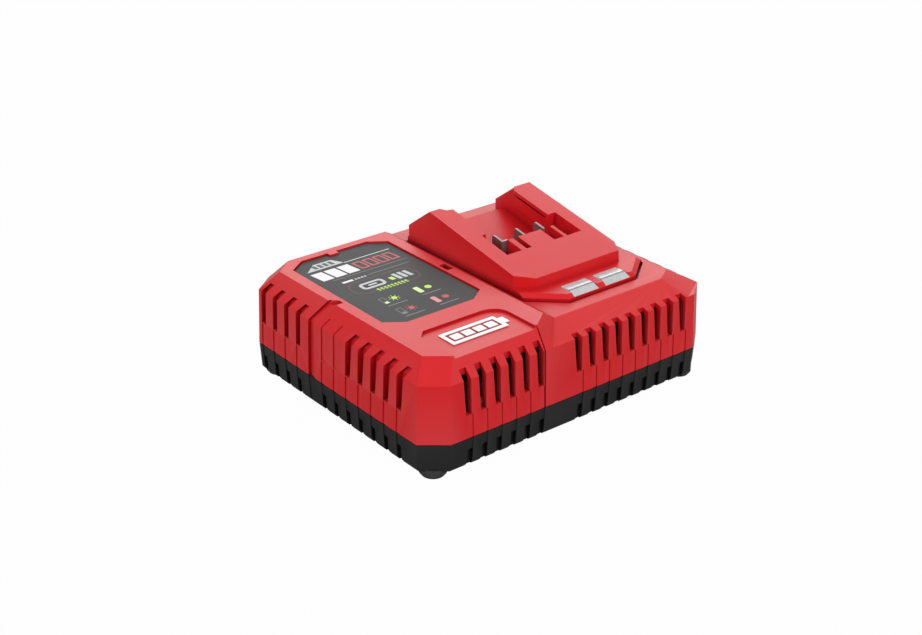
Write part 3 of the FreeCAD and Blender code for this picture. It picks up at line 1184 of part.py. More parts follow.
def build():
    os.makedirs("parts", exist_ok=True)
    nodes = {
        "upper_housing": [upper_housing()],
        "lower_housing": [lower_housing()],
        "battery_dock": [battery_dock()],
        "label_plate": [label_plate()],
        "pad_pictogram": pad_pictogram(),
        "status_lens_left": [status_lens(*LENS_SPANS[0])],
        "status_lens_right": [status_lens(*LENS_SPANS[1])],
        "status_board": [status_board()],
        "status_leds": status_leds(),
        "terminal_block": [terminal_block()],
        "contact_blade_positive": [contact_blade(BLADE_X[0], True)],
        "contact_blade_sense": [contact_blade(BLADE_X[1], False)],
        "contact_blade_negative": [contact_blade(BLADE_X[2], False)],
        "fan_frame": [fan_frame()],
        "fan_coil": [fan_coil()],
        "fan_rotor": [fan_rotor()],
        "main_board": [board_plate()],
        "insulating_sheet": [insulating_sheet()],
        "transformer_core": [transformer_core()],
        "transformer_bobbin": [transformer_bobbin()],
        "transformer_winding": [transformer_winding()],
        "input_capacitor": [can(-66.0, -38.0, 11.0, 36.0)],
        "film_capacitor": [box(-66, -58, 22, 42, BOARD_TOP, BOARD_TOP + 16)],
        "output_capacitors": [can(x, -32.0, 5.0, 22.0) for x in (12.0, 23.0, 36.5)],
        "heat_sink_primary": [heat_sink(-6.0, -50.0, 10.0, 44.0)],
        "heat_sink_secondary": [heat_sink(47.0, -40.0, 14.0, 38.0)],
        "power_transistors": [tab_device(-6.0, y, BOARD_TOP + 8) for y in (-36.0, -14.0)],
        "rectifier_diodes": [tab_device(47.0, y, BOARD_TOP + 6) for y in (-26.0, -6.0)],
        "input_choke_core": [ring_core(-34.0, 36.0, 9.0, 4.0, 8.0)],
        "input_choke_windings": ring_turns(-34.0, 36.0, 9.0, 4.0, 8.0, CHOKE_ANGLES),
        "output_choke_core": [ring_core(30.0, 44.0, 10.0, 4.5, 9.0)],
        "output_choke_winding": ring_turns(30.0, 44.0, 10.0, 4.5, 9.0, RING_ANGLES),
        "bridge_rectifier": [bridge_rectifier()],
        "fuse_tube": [fuse_tube()],
        "fuse_caps": fuse_caps(),
        "mains_terminal": [mains_terminal()],
        "terminal_clamps": terminal_clamps(),
        "controller_chip": [controller_chip()],
        "cord_gland": [cord_gland()],
        "case_screws": case_screws(),
        "board_screws": board_screws(),
        "dock_screws": dock_screws(),
        "terminal_screws": terminal_screws(),
        "status_screws": status_screws(),
    }
    nodes.update(feet())
    nodes.update(leads())
    for node, shapes in nodes.items():
        export(node, shapes)


build()
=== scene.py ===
"""Looks of the charger for slide-on tool batteries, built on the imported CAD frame."""

import logging
import math
from dataclasses import dataclass, field, replace
from enum import Enum

import bmesh
import bpy
from mathutils import Matrix, Vector


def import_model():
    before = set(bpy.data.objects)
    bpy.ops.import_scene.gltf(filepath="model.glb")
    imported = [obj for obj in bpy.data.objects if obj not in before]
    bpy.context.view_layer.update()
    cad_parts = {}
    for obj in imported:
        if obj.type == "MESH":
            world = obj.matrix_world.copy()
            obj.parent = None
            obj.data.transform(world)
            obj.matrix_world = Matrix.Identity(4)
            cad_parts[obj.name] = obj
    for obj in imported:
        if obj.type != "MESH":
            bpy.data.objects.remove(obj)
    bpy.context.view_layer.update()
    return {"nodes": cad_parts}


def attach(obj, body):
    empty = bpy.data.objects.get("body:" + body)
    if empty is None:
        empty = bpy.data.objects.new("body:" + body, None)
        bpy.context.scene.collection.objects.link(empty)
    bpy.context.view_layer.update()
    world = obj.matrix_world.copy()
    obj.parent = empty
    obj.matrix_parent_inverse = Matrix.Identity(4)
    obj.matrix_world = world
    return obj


log = logging.getLogger("charger")

PHOTO_WIDTH = 922
MM = 0.001
WHITE = (1.0, 1.0, 1.0, 1.0)
FULL_TURN, QUARTER_TURN = 360.0, 90.0
HOLLOW_SAMPLES = 6

# Length of one band of the wave texture at scale 1
WAVE_PERIOD = math.tau / 20

# Places of the Mix node's sockets when it mixes colours
MIX_FACTOR, MIX_LOW, MIX_HIGH, MIX_RESULT = 0, 6, 7, 2

Colour = tuple[float, float, float]
Outline = list[tuple[float, float]]
Mark = tuple[Outline, Outline | None]


# Colours, noise and shader maths


def scaled(colour: Colour, factor: float) -> Colour:
    """The colour made darker or lighter, at most 1."""
    return tuple(min(1.0, c * factor) for c in colour)


@dataclass(frozen=True)
class Noise:
    """Settings of a noise texture: cells per metre, number of finer layers and their strength."""

    scale: float
    detail: float = 3.0
    rough: float = 0.5


class Sock:
    """A shader socket that can be used in Python expressions."""

    def __init__(self, tree: "Tree", link: bpy.types.NodeSocket) -> None:
        """Keeps the socket and the tree it belongs to."""
        self.tree = tree
        self.link = link

    def _math(self, kind: str, left: "Sock | float", right: "Sock | float", clamp: bool = False) -> "Sock":
        """Adds a Math node.

        Args:
            kind: the operation of the node.
            left: its first value.
            right: its second value.
            clamp: whether the result stays from 0 to 1.

        Returns:
            The node's result.
        """
        made = self.tree.node("ShaderNodeMath", {"operation": kind, "use_clamp": clamp}, {0: left, 1: right})
        return made.out("Value")

    def __add__(self, other: "Sock | float") -> "Sock":
        """Sum."""
        return self._math("ADD", self, other)

    __radd__ = __add__

    def __mul__(self, other: "Sock | float") -> "Sock":
        """Product."""
        return self._math("MULTIPLY", self, other)

    __rmul__ = __mul__

    def __sub__(self, other: "Sock | float") -> "Sock":
        """Difference."""
        return self._math("SUBTRACT", self, other)

    def __rsub__(self, other: "Sock | float") -> "Sock":
        """Difference with the plain number first, so that 1 - mask works."""
        return self._math("SUBTRACT", other, self)

    def __gt__(self, other: "Sock | float") -> "Sock":
        """1 where this is the greater, else 0."""
        return self._math("GREATER_THAN", self, other)

    def __lt__(self, other: "Sock | float") -> "Sock":
        """1 where this is the smaller, else 0."""
        return self._math("LESS_THAN", self, other)

    def __abs__(self) -> "Sock":
        """Size without its sign."""
        return self._math("ABSOLUTE", self, 0.0)

    def clamped(self) -> "Sock":
        """The value kept from 0 to 1."""
        return self._math("ADD", self, 0.0, True)

    def swing(self, amount: float) -> "Sock":
        """How far a noise is from its middle, 0.5, times the amount."""
        return (self - 0.5) * amount


class Made:
    """A node that was added, with easy access to its outputs."""

    def __init__(self, tree: "Tree", node: bpy.types.Node) -> None:
        """Keeps the node and the tree it belongs to."""
        self.tree = tree
        self.node = node

    def out(self, name: str | int) -> Sock:
        """The output of that name or place, as a socket for expressions."""
        return Sock(self.tree, self.node.outputs[name])


class Tree:
    """A node tree under construction."""

    def __init__(self, tree: bpy.types.NodeTree) -> None:
        """Keeps the tree and empties it."""
        self.tree = tree
        self.tree.nodes.clear()

    def node(self, kind: str, settings: dict[str, object], sockets: dict[object, object]) -> Made:
        """Adds any node.

        Args:
            kind: the node's type name.
            settings: its properties, set first.
            sockets: values or links for its inputs, by name or place.

        Returns:
            The node.
        """
        node = self.tree.nodes.new(kind)
        for name, value in settings.items():
            setattr(node, name, value)
        for name, value in sockets.items():
            socket = node.inputs[name]
            if isinstance(value, Sock):
                self.tree.links.new(value.link, socket)
            else:
                socket.default_value = value
        return Made(self, node)


class Paint(Tree):
    """A material under construction."""

    def __init__(self, name: str) -> None:
        """Makes an empty node material.

        Args:
            name: name of the material.
        """
        self.material = bpy.data.materials.new(name)
        self.material.use_nodes = True
        super().__init__(self.material.node_tree)

    def place(self) -> Sock:
        """The object's own coordinates, in metres."""
        return self.node("ShaderNodeTexCoord", {}, {}).out("Object")

    def axes(self) -> tuple[Sock, Sock, Sock]:
        """The object's X, Y and Z as three numbers."""
        split = self.node("ShaderNodeSeparateXYZ", {}, {"Vector": self.place()})
        return split.out("X"), split.out("Y"), split.out("Z")

    def noise(self, noise: Noise, squeeze: tuple[float, float, float] | None = None) -> Sock:
        """Noise from about 0 to 1.

        Args:
            noise: its settings.
            squeeze: scale of each axis; a small one draws the noise out into streaks.

        Returns:
            The noise value.
        """
        place = self.place()
        if squeeze is not None:
            place = self.node("ShaderNodeMapping", {}, {"Vector": place, "Scale": squeeze}).out("Vector")
        sockets = {"Vector": place, "Scale": noise.scale, "Detail": noise.detail, "Roughness": noise.rough}
        return self.node("ShaderNodeTexNoise", {}, sockets).out("Fac")

    def mix(self, mask: "Sock | float", low: object, high: object) -> Sock:
        """Mixes two colours.

        Args:
            mask: 0 gives the first, 1 the second.
            low: first colour or link.
            high: second colour or link.

        Returns:
            The mixed colour.
        """
        sockets = {MIX_FACTOR: mask, MIX_LOW: self._rgba(low), MIX_HIGH: self._rgba(high)}
        return self.node("ShaderNodeMix", {"data_type": "RGBA"}, sockets).out(MIX_RESULT)

    def openness(self, reach: float) -> Sock:
        """1 on open faces, falling to 0 in slots and corners; it is the mask of painted shade.

        Args:
            reach: how far a facing wall counts, in metres.

        Returns:
            The openness.
        """
        made = self.node("ShaderNodeAmbientOcclusion", {"samples": HOLLOW_SAMPLES}, {"Distance": reach})
        return made.out("AO")

    @staticmethod
    def _rgba(colour: object) -> object:
        """A colour with alpha, or a link as it is."""
        return colour if isinstance(colour, Sock) else (*colour[:3], 1.0)

    def bump(self, height: Sock, depth: float) -> Sock:
        """Bump of a height that is given from 0 to 1.

        Args:
            height: the height.
            depth: metres from 0 to 1.

        Returns:
            The new normal.
        """
        sockets = {"Height": height, "Distance": depth, "Strength": 1.0}
        return self.node("ShaderNodeBump", {}, sockets).out("Normal")

    def finish(self, **sockets: object) -> bpy.types.Material:
        """Closes the material with a Principled shader.

        Args:
            **sockets: its inputs, with _ for a space.

        Returns:
            The material.
        """
        named = {}
        for name, value in sockets.items():
            key = name.replace("_", " ")
            named[key] = self._rgba(value) if key.endswith("Color") else value
        shader = self.node("ShaderNodeBsdfPrincipled", {}, named)
        self.node("ShaderNodeOutputMaterial", {}, {"Surface": shader.out("BSDF")})
        return self.material


# Finishes. Depths, reaches and pitches are in metres.


@dataclass(frozen=True)
class MouldedPlastic:
    """Plastic out of a spark-eroded mould: fine grain, faint mottling, pale edges that are partly wear and
    partly painted highlight, and painted shade in hollows.
    """

    name: str
    colour: Colour
    roughness: float = 0.42
    specular: float = 0.4
    grain: float = 0.00002
    edge_light: float = 0.25
    grain_noise: Noise = Noise(2600.0, 2.0, 0.6)
    grain_rough: float = 0.08
    cloud_noise: Noise = Noise(38.0, 4.0, 0.55)
    cloud_rough: float = 0.10
    mottle: float = 0.06
    # Lightening of sharp edges: partly wear, partly painted highlight
    edge_wear_and_highlight: float = 0.08
    edge_from: float = 0.53
    edge_gain: float = 9.0
    # Colour factor of the painted shade in slots, corners and seams
    hollow: float = 0.22
    shade_reach: float = 0.006
    shade_gain: float = 1.35

    def build(self) -> bpy.types.Material:
        """Builds the material.

        Returns:
            The material.
        """
        paint = Paint(self.name)
        grain = paint.noise(self.grain_noise)
        cloud = paint.noise(self.cloud_noise)
        base = paint.mix(cloud, scaled(self.colour, 1 - self.mottle), scaled(self.colour, 1 + self.mottle))
        # Pale edges: partly wear, partly painted highlight where edges catch the light
        worn_and_lit_edge = tuple(c + (1 - c) * self.edge_wear_and_highlight for c in self.colour)
        pointed = paint.node("ShaderNodeNewGeometry", {}, {}).out("Pointiness")
        edge = ((pointed - self.edge_from) * self.edge_gain).clamped()
        base = paint.mix(edge * self.edge_light, base, worn_and_lit_edge)
        # Painted shade: the colour darkens where facing walls close in, in slots, corners and seams
        unshaded = (paint.openness(self.shade_reach) * self.shade_gain).clamped()
        base = paint.mix(unshaded, scaled(self.colour, self.hollow), base)
        rough = self.roughness + cloud.swing(self.cloud_rough) + grain.swing(self.grain_rough)
        return paint.finish(
            Base_Color=base, Roughness=rough, Normal=paint.bump(grain, self.grain),
            Specular_IOR_Level=self.specular)


@dataclass(frozen=True)
class Metal:
    """Drawn, plated or ground metal with fine streaks."""

    name: str
    colour: Colour
    roughness: float = 0.28
    streak_noise: Noise = Noise(900.0)
    streak_rough: float = 0.22
    streak_depth: float = 0.00001
    squeeze: tuple[float, float, float] = (1.0, 0.06, 1.0)
    stain_noise: Noise = Noise(140.0, 4.0, 0.6)
    stain: float = 0.6
    dull: float = 0.72

    def build(self) -> bpy.types.Material:
        """Builds the material.

        Returns:
            The material.
        """
        paint = Paint(self.name)
        streaks = paint.noise(self.streak_noise, self.squeeze)
        stain = paint.noise(self.stain_noise)
        base = paint.mix(stain * self.stain, self.colour, scaled(self.colour, self.dull))
        rough = self.roughness + streaks.swing(self.streak_rough)
        return paint.finish(
            Base_Color=base, Metallic=1.0, Roughness=rough, Normal=paint.bump(streaks, self.streak_depth))


@dataclass(frozen=True)
class Rubber:
    """Matt rubber with dusty high spots."""

    name: str
    colour: Colour = (0.022, 0.022, 0.023)
    roughness: float = 0.75
    grain_noise: Noise = Noise(1800.0, 3.0, 0.6)
    grain_rough: float = 0.2
    grain_depth: float = 0.00005
    dust_noise: Noise = Noise(90.0, 5.0, 0.6)
    dust_gain: float = 2.5
    dust: float = 0.035

    def build(self) -> bpy.types.Material:
        """Builds the material.

        Returns:
            The material.
        """
        paint = Paint(self.name)
        grain = paint.noise(self.grain_noise)
        dust = paint.noise(self.dust_noise)
        pale = tuple(c + self.dust for c in self.colour)
        base = paint.mix(dust.swing(self.dust_gain).clamped(), self.colour, pale)
        rough = self.roughness + grain.swing(self.grain_rough)
        return paint.finish(Base_Color=base, Roughness=rough, Normal=paint.bump(grain, self.grain_depth))


@dataclass(frozen=True)
class Lens:
    """Frosted clear plastic of the two lenses: pale, with fine prisms, painted shade along the ridge line
    and painted shadow at the ends.

    The ridge and the ends are placed in millimetres.
    """

    name: str
    colour: Colour = (0.74, 0.75, 0.76)
    # Colour of the painted shade on the ridge and the painted shadow at the ends
    dark: Colour = (0.10, 0.07, 0.07)
    ridge_y: float = -47.6
    ridge_half: float = 0.45
    ridge_shade: float = 0.55
    pair_x: float = 39.8
    middle: float = 11.1
    rim_from: float = 8.3
    end_shadow: float = 0.4
    frost_noise: Noise = Noise(900.0, 3.0, 0.6)
    cloud_noise: Noise = Noise(120.0, 2.0, 0.5)
    prism_noise: Noise = Noise(420.0, 1.0)
    squeeze: tuple[float, float, float] = (1.0, 0.05, 1.0)
    prism_share: float = 0.6
    prism_depth: float = 0.00006
    dim: float = 0.62
    roughness: float = 0.18
    frost_rough: float = 0.10
    clear: float = 0.2
    coat: float = 0.6

    def build(self) -> bpy.types.Material:
        """Builds the material.

        Returns:
            The material.
        """
        paint = Paint(self.name)
        frost = paint.noise(self.frost_noise)
        cloud = paint.noise(self.cloud_noise)
        prisms = paint.noise(self.prism_noise, self.squeeze)
        pale = prisms * self.prism_share + cloud * (1 - self.prism_share)
        base = paint.mix(pale, scaled(self.colour, self.dim), self.colour)
        x, y, _ = paint.axes()
        ridge = abs(y - (self.ridge_y - self.ridge_half) * MM) < self.ridge_half * MM
        rim = abs(abs(x - self.pair_x * MM) - self.middle * MM) > self.rim_from * MM
        # Painted shade along the ridge line and painted shadow at the lens ends
        base = paint.mix(ridge * self.ridge_shade + rim * self.end_shadow, base, self.dark)
        return paint.finish(
            Base_Color=base, Roughness=self.roughness + frost.swing(self.frost_rough),
            Normal=paint.bump(prisms, self.prism_depth), Transmission_Weight=self.clear,
            Coat_Weight=self.coat)


@dataclass(frozen=True)
class Board:
    """Circuit board: green mask over copper lands."""

    name: str
    mask: Colour = (0.012, 0.10, 0.045)
    land: Colour = (0.03, 0.20, 0.09)
    track_scale: float = 160.0
    track_gap: float = 0.06
    track_depth: float = 0.00003
    roughness: float = 0.32
    fine_noise: Noise = Noise(500.0, 2.0, 0.5)
    fine_rough: float = 0.15

    def build(self) -> bpy.types.Material:
        """Builds the material.

        Returns:
            The material.
        """
        paint = Paint(self.name)
        sockets = {"Vector": paint.place(), "Scale": self.track_scale, "Mortar Size": self.track_gap}
        tracks = paint.node("ShaderNodeTexBrick", {}, sockets).out("Fac")
        fine = paint.noise(self.fine_noise)
        return paint.finish(
            Base_Color=paint.mix(tracks, self.mask, self.land),
            Roughness=self.roughness + fine.swing(self.fine_rough),
            Normal=paint.bump(tracks, self.track_depth))


@dataclass(frozen=True)
class EnamelledWire:
    """Copper wire laid side by side under clear enamel, with painted shade in the grooves between turns."""

    name: str
    pitch: float = 0.00177562817
    shaded_groove: Colour = (0.30, 0.10, 0.03)
    crest: Colour = (0.80, 0.36, 0.15)
    wobble: float = 0.4
    depth: float = 0.0002
    roughness: float = 0.30
    groove_rough: float = 0.2
    metallic: float = 0.8

    def build(self) -> bpy.types.Material:
        """Builds the material.

        Returns:
            The material.
        """
        paint = Paint(self.name)
        sockets = {"Vector": paint.place(), "Scale": WAVE_PERIOD / self.pitch, "Distortion": self.wobble}
        wave = paint.node(
            "ShaderNodeTexWave", {"wave_type": "BANDS", "bands_direction": "Z"}, sockets).out("Fac")
        # Painted shade: the grooves between turns are darker than the crests
        return paint.finish(
            Base_Color=paint.mix(wave, self.shaded_groove, self.crest), Metallic=self.metallic,
            Roughness=self.roughness + (1 - wave) * self.groove_rough, Normal=paint.bump(wave, self.depth))


@dataclass(frozen=True)
class ClearGlass:
    """Clear tube glass with a faint smear."""

    name: str
    colour: Colour = (0.92, 0.95, 0.95)
    roughness: float = 0.04
    smear_noise: Noise = Noise(200.0, 3.0, 0.5)
    smear_rough: float = 0.05
    clear: float = 0.95
    ior: float = 1.5

    def build(self) -> bpy.types.Material:
        """Builds the material.

        Returns:
            The material.
        """
        paint = Paint(self.name)
        smear = paint.noise(self.smear_noise)
        return paint.finish(
            Base_Color=self.colour, Roughness=self.roughness + smear * self.smear_rough,
            Transmission_Weight=self.clear, IOR=self.ior)


class Ink(Enum):
    """Inks of the label's print."""

    WHITE = (0.80, 0.80, 0.80)
    PALE = (0.52, 0.54, 0.55)
    GREY = (0.17, 0.17, 0.17)
    DARK = (0.05, 0.05, 0.052)
    GREEN = (0.50, 0.80, 0.10)
    PALE_GREEN = (0.66, 0.86, 0.34)
    RED = (0.52, 0.05, 0.06)
    DIM_RED = (0.16, 0.035, 0.04)
    PINK = (0.72, 0.26, 0.30)


@dataclass(frozen=True)
class PrintInk:
    """Screen-printed ink: even, a little mottled, with a soft sheen."""

    ink: Ink
    mesh_noise: Noise = Noise(2400.0, 2.0, 0.6)
    mesh_depth: float = 0.000005
    mesh_rough: float = 0.1
    thin: float = 0.88
    roughness: float = 0.42
    specular: float = 0.25

    def build(self) -> bpy.types.Material:
        """Builds the material.

        Returns:
            The material.
        """
        paint = Paint(f"ink_{self.ink.name.lower()}")
        mesh = paint.noise(self.mesh_noise)
        return paint.finish(
            Base_Color=paint.mix(mesh, scaled(self.ink.value, self.thin), self.ink.value),
            Roughness=self.roughness + mesh.swing(self.mesh_rough),
            Normal=paint.bump(mesh, self.mesh_depth), Specular_IOR_Level=self.specular)


# Camera, floor, lamps and world


@dataclass
class PhotoCamera:
    """Camera with its place, turn and lens fitted to the photograph, in millimetres and degrees."""

    azimuth: float = 38.775
    elevation: float = 26.055
    roll: float = 0.145
    distance: float = 863.214
    focal_px: float = 1617.707
    shift_x: float = 9.579
    shift_y: float = 3.308
    lift: float = 6.0
    aim_z: float = 30.0
    sensor: float = 36.0
    nearest: float = 10.0
    farthest: float = 50000.0

    def build(self) -> None:
        """Makes the camera and makes it the scene's own."""
        az, el, roll = (math.radians(a) for a in (self.azimuth, self.elevation, self.roll))
        back = Vector((-math.sin(az) * math.cos(el), -math.cos(az) * math.cos(el), math.sin(el)))
        right = Vector((0, 0, 1)).cross(back).normalized()
        up = back.cross(right)
        across = right * math.cos(roll) + up * math.sin(roll)
        upward = up * math.cos(roll) - right * math.sin(roll)
        aim = Vector((0, 0, self.aim_z + self.lift))
        eye = aim - across * self.shift_x - upward * self.shift_y + back * self.distance
        data = bpy.data.cameras.new("photo_camera")
        data.sensor_width = self.sensor
        data.lens = self.focal_px / PHOTO_WIDTH * self.sensor
        data.clip_start, data.clip_end = self.nearest * MM, self.farthest * MM
        camera = bpy.data.objects.new("photo_camera", data)
        bpy.context.scene.collection.objects.link(camera)
        turn = Matrix((across, upward, back)).transposed()
        camera.matrix_world = Matrix.Translation(eye * MM) @ turn.to_4x4()
        bpy.context.scene.camera = camera


@dataclass(frozen=True)
class Lamp:
    """A square area lamp that points at the object, in metres and watts."""

    name: str
    place: tuple[float, float, float]
    size: float
    power: float
    aim: tuple[float, float, float] = (0.0, 0.0, 0.04)

    def build(self) -> None:
        """Makes the lamp."""
        data = bpy.data.lights.new(self.name, "AREA")
        data.shape, data.size, data.energy = "SQUARE", self.size, self.power
        lamp = bpy.data.objects.new(self.name, data)
        lamp.location = self.place
        lamp.rotation_mode = "QUATERNION"
        lamp.rotation_quaternion = (Vector(self.aim) - Vector(self.place)).to_track_quat("-Z", "Y")
        bpy.context.scene.collection.objects.link(lamp)


@dataclass
class Studio:
    """Pale floor, soft lamps and a plain world, in metres."""

    floor_size: float = 30.0
    floor_grey: float = 0.42
    floor_speck: float = 0.01
    speck_noise: Noise = Noise(60.0, 2.0)
    floor_white: float = 0.98
    world_light: float = 0.62
    lamps: tuple[Lamp, ...] = (
        Lamp("front_lamp", (0.25, -1.7, 1.1), 1.0, 17.0),
        Lamp("left_lamp", (-1.6, -0.3, 1.0), 1.0, 13.0),
        Lamp("sheen_lamp", (1.0, 1.3, 0.85), 1.4, 13.0),
    )

    def build(self) -> None:
        """Makes the floor, the lamps and the world."""
        self._floor()
        for lamp in self.lamps:
            lamp.build()
        self._world()

    def _floor(self) -> None:
        """A grey floor that the camera alone sees as nearly white."""
        mesh = bpy.data.meshes.new("floor")
        half = self.floor_size / 2
        corners = [(-half, -half, 0), (half, -half, 0), (half, half, 0), (-half, half, 0)]
        mesh.from_pydata(corners, [], [(0, 1, 2, 3)])
        floor = bpy.data.objects.new("floor", mesh)
        bpy.context.scene.collection.objects.link(floor)
        paint = Paint("floor_paper")
        speck = paint.noise(self.speck_noise)
        dark, light = ((self.floor_grey + step,) * 3 for step in (-self.floor_speck, self.floor_speck))
        diffuse = paint.node("ShaderNodeBsdfDiffuse", {}, {"Color": paint.mix(speck, dark, light)})
        glow = paint.node("ShaderNodeEmission", {}, {"Color": WHITE, "Strength": 1.0})
        seen = paint.node("ShaderNodeLightPath", {}, {}).out("Is Camera Ray")
        shade = paint.node(
            "ShaderNodeMixShader", {},
            {0: seen * self.floor_white, 1: diffuse.out("BSDF"), 2: glow.out("Emission")})
        paint.node("ShaderNodeOutputMaterial", {}, {"Surface": shade.out("Shader")})
        mesh.materials.append(paint.material)

    def _world(self) -> None:
        """Grey light on the object; white where the camera sees it."""
        world = bpy.data.worlds.new("studio_world")
        world.use_nodes = True
        sky = Tree(world.node_tree)
        seen = sky.node("ShaderNodeLightPath", {}, {}).out("Is Camera Ray")
        level = self.world_light + seen * (1.0 - self.world_light)
        light = sky.node("ShaderNodeBackground", {}, {"Color": WHITE, "Strength": level})
        sky.node("ShaderNodeOutputWorld", {}, {"Surface": light.out("Background")})
        bpy.context.scene.world = world
        bpy.context.scene.view_settings.view_transform = "Standard"


# Dressing of CAD nodes


@dataclass
class Dresser:
    """Puts finishes on CAD nodes and rounds their edges, in millimetres and degrees."""

    nodes: dict[str, bpy.types.Object]
    weld_gap: float = 0.004
    flat_angle: float = 1.0
    edge_angle: float = 24.0
    segments: int = 2

    def paint(self, material: bpy.types.Material, *names: str) -> None:
        """Gives the nodes one material.

        Args:
            material: the finish.
            *names: the nodes.
        """
        for name in names:
            slots = self.nodes[name].data.materials
            slots.clear()
            slots.append(material)

    def round_edges(self, width: float, *names: str) -> None:
        """Rounds the sharp edges of the nodes.

        Args:
            width: width of the rounding.
            *names: the nodes.
        """
        for name in names:
            node = self.nodes[name]
            weld = node.modifiers.new("weld", "WELD")
            weld.merge_threshold = self.weld_gap * MM
            flat = node.modifiers.new("flat", "DECIMATE")
            flat.decimate_type = "DISSOLVE"
            flat.angle_limit = math.radians(self.flat_angle)
            bevel = node.modifiers.new("round", "BEVEL")
            bevel.width = width * MM
            bevel.segments = self.segments
            bevel.limit_method = "ANGLE"
            bevel.angle_limit = math.radians(self.edge_angle)
            bevel.use_clamp_overlap = True


@dataclass
class Housing:
    """Red shell and dock, black tray, feet, screws and other plated parts."""

    shell: MouldedPlastic = MouldedPlastic("red_shell", (0.58, 0.008, 0.012), 0.38, 0.27)
    tray: MouldedPlastic = MouldedPlastic("black_tray", (0.013, 0.0135, 0.0135), 0.50, 0.16, edge_light=0.4)
    feet: Rubber = Rubber("foot_rubber")
    screws: Metal = Metal("zinc_screws", (0.60, 0.60, 0.58))
    edge: float = 0.4

    def dress(self, dresser: Dresser) -> None:
        """Dresses the housing's nodes.

        Args:
            dresser: the tool that holds the nodes.
        """
        dresser.paint(self.shell.build(), "upper_housing", "battery_dock")
        dresser.paint(self.tray.build(), "lower_housing")
        feet = [f"foot_{end}_{side}" for end in ("front", "rear") for side in ("left", "right")]
        dresser.paint(self.feet.build(), *feet)
        dresser.paint(
            self.screws.build(), "case_screws", "board_screws", "dock_screws", "terminal_screws",
            "status_screws", "fuse_caps", "terminal_clamps")

    def round(self, dresser: Dresser) -> None:
        """Rounds the edges of the mouldings."""
        dresser.round_edges(self.edge, "upper_housing", "battery_dock", "lower_housing")


@dataclass
class Inside:
    """Boards, parts and wires inside the shell, and the contacts in the pocket."""

    plain: tuple[tuple[MouldedPlastic, tuple[str, ...]], ...] = (
        (MouldedPlastic("dark_plastic", (0.03, 0.03, 0.032), 0.5), (
            "terminal_block", "fan_frame", "fan_rotor", "transformer_bobbin", "power_transistors",
            "rectifier_diodes", "bridge_rectifier", "controller_chip")),
        (MouldedPlastic("ferrite", (0.06, 0.06, 0.065), 0.6), (
            "transformer_core", "input_choke_core", "output_choke_core")),
        (MouldedPlastic("can_sleeve", (0.02, 0.03, 0.06), 0.3), ("input_capacitor", "output_capacitors")),
        (MouldedPlastic("film_case", (0.70, 0.48, 0.06), 0.35), ("film_capacitor",)),
        (MouldedPlastic("white_plastic", (0.72, 0.71, 0.66), 0.45), ("mains_terminal",)),
        (MouldedPlastic("sheet_board", (0.72, 0.70, 0.58), 0.8), ("insulating_sheet",)),
        (MouldedPlastic("red_lead", (0.50, 0.02, 0.02), 0.4), ("wire_positive",)),
        (MouldedPlastic("black_lead", (0.02, 0.02, 0.02), 0.4), ("wire_negative", "wire_fan")),
        (MouldedPlastic("white_lead", (0.70, 0.70, 0.66), 0.4), ("wire_sense", "wire_status")),
        (MouldedPlastic("clear_epoxy", (0.45, 0.80, 0.35), 0.2), ("status_leds",)),
    )
    blades: Metal = Metal("blade_metal", (0.36, 0.34, 0.33), 0.52)
    sinks: Metal = Metal("extruded_aluminium", (0.70, 0.71, 0.72), 0.38)
    boards: Board = Board("green_board")
    windings: EnamelledWire = EnamelledWire("enamelled_wire")
    glass: ClearGlass = ClearGlass("fuse_glass")
    gland: Rubber = Rubber("gland_rubber")

    def dress(self, dresser: Dresser) -> None:
        """Dresses the inner nodes.

        Args:
            dresser: the tool that holds the nodes.
        """
        for finish, nodes in self.plain:
            dresser.paint(finish.build(), *nodes)
        blades = [f"contact_blade_{pole}" for pole in ("positive", "sense", "negative")]
        dresser.paint(self.blades.build(), *blades)
        dresser.paint(self.sinks.build(), "heat_sink_primary", "heat_sink_secondary")
        dresser.paint(self.boards.build(), "main_board", "status_board")
        dresser.paint(
            self.windings.build(), "transformer_winding", "input_choke_windings", "output_choke_winding",
            "fan_coil")
        dresser.paint(self.glass.build(), "fuse_tube")
        dresser.paint(self.gland.build(), "cord_gland")


@dataclass
class Fittings:
    """Label, pictogram and lenses on the outside."""

    film: MouldedPlastic = MouldedPlastic("label_film", (0.058, 0.057, 0.057), 0.58, 0.14, grain=0.000005)
    inlay: MouldedPlastic = MouldedPlastic("pale_inlay", (0.84, 0.82, 0.82), 0.35)
    lens: Lens = Lens("frosted_lens")
    edge: float = 0.25

    def dress(self, dresser: Dresser) -> None:
        """Dresses the outer fittings.

        Args:
            dresser: the tool that holds the nodes.
        """
        dresser.paint(self.film.build(), "label_plate")
        dresser.paint(self.inlay.build(), "pad_pictogram")
        dresser.paint(self.lens.build(), "status_lens_left", "status_lens_right")

    def round(self, dresser: Dresser) -> None:
        """Rounds the edges of the outer fittings."""
        nodes = ("status_lens_left", "status_lens_right", "label_plate", "pad_pictogram")
        dresser.round_edges(self.edge, *nodes)


# Print on the label, in millimetres


@dataclass(frozen=True)
class BarRow:
    """A row of equal leaning bars. Bars with a stroke are hollow."""

    ink: Ink
    left: float
    width: float
    front: float
    rear: float
    count: int = 1
    pitch: float = 0.0
    stroke: float = 0.0

    def corners(self, index: int, slant: float, inset: float) -> Outline:
        """Corners of one bar.

        Args:
            index: its place in the row.
            slant: how far it leans to the right for each millimetre to the rear.
            inset: how far its corners are moved inwards.

        Returns:
            The four corners.
        """
        x0 = self.left + index * self.pitch
        x1 = x0 + self.width
        ends = (
            (x0 + inset, self.front + inset), (x1 - inset, self.front + inset),
            (x1 - inset, self.rear - inset), (x0 + inset, self.rear - inset))
        return [(x + slant * (y - self.front), y) for x, y in ends]

    def moved(self, x: float, y: float) -> "BarRow":
        """The same row at another place."""
        return replace(self, left=self.left + x, front=self.front + y, rear=self.rear + y)


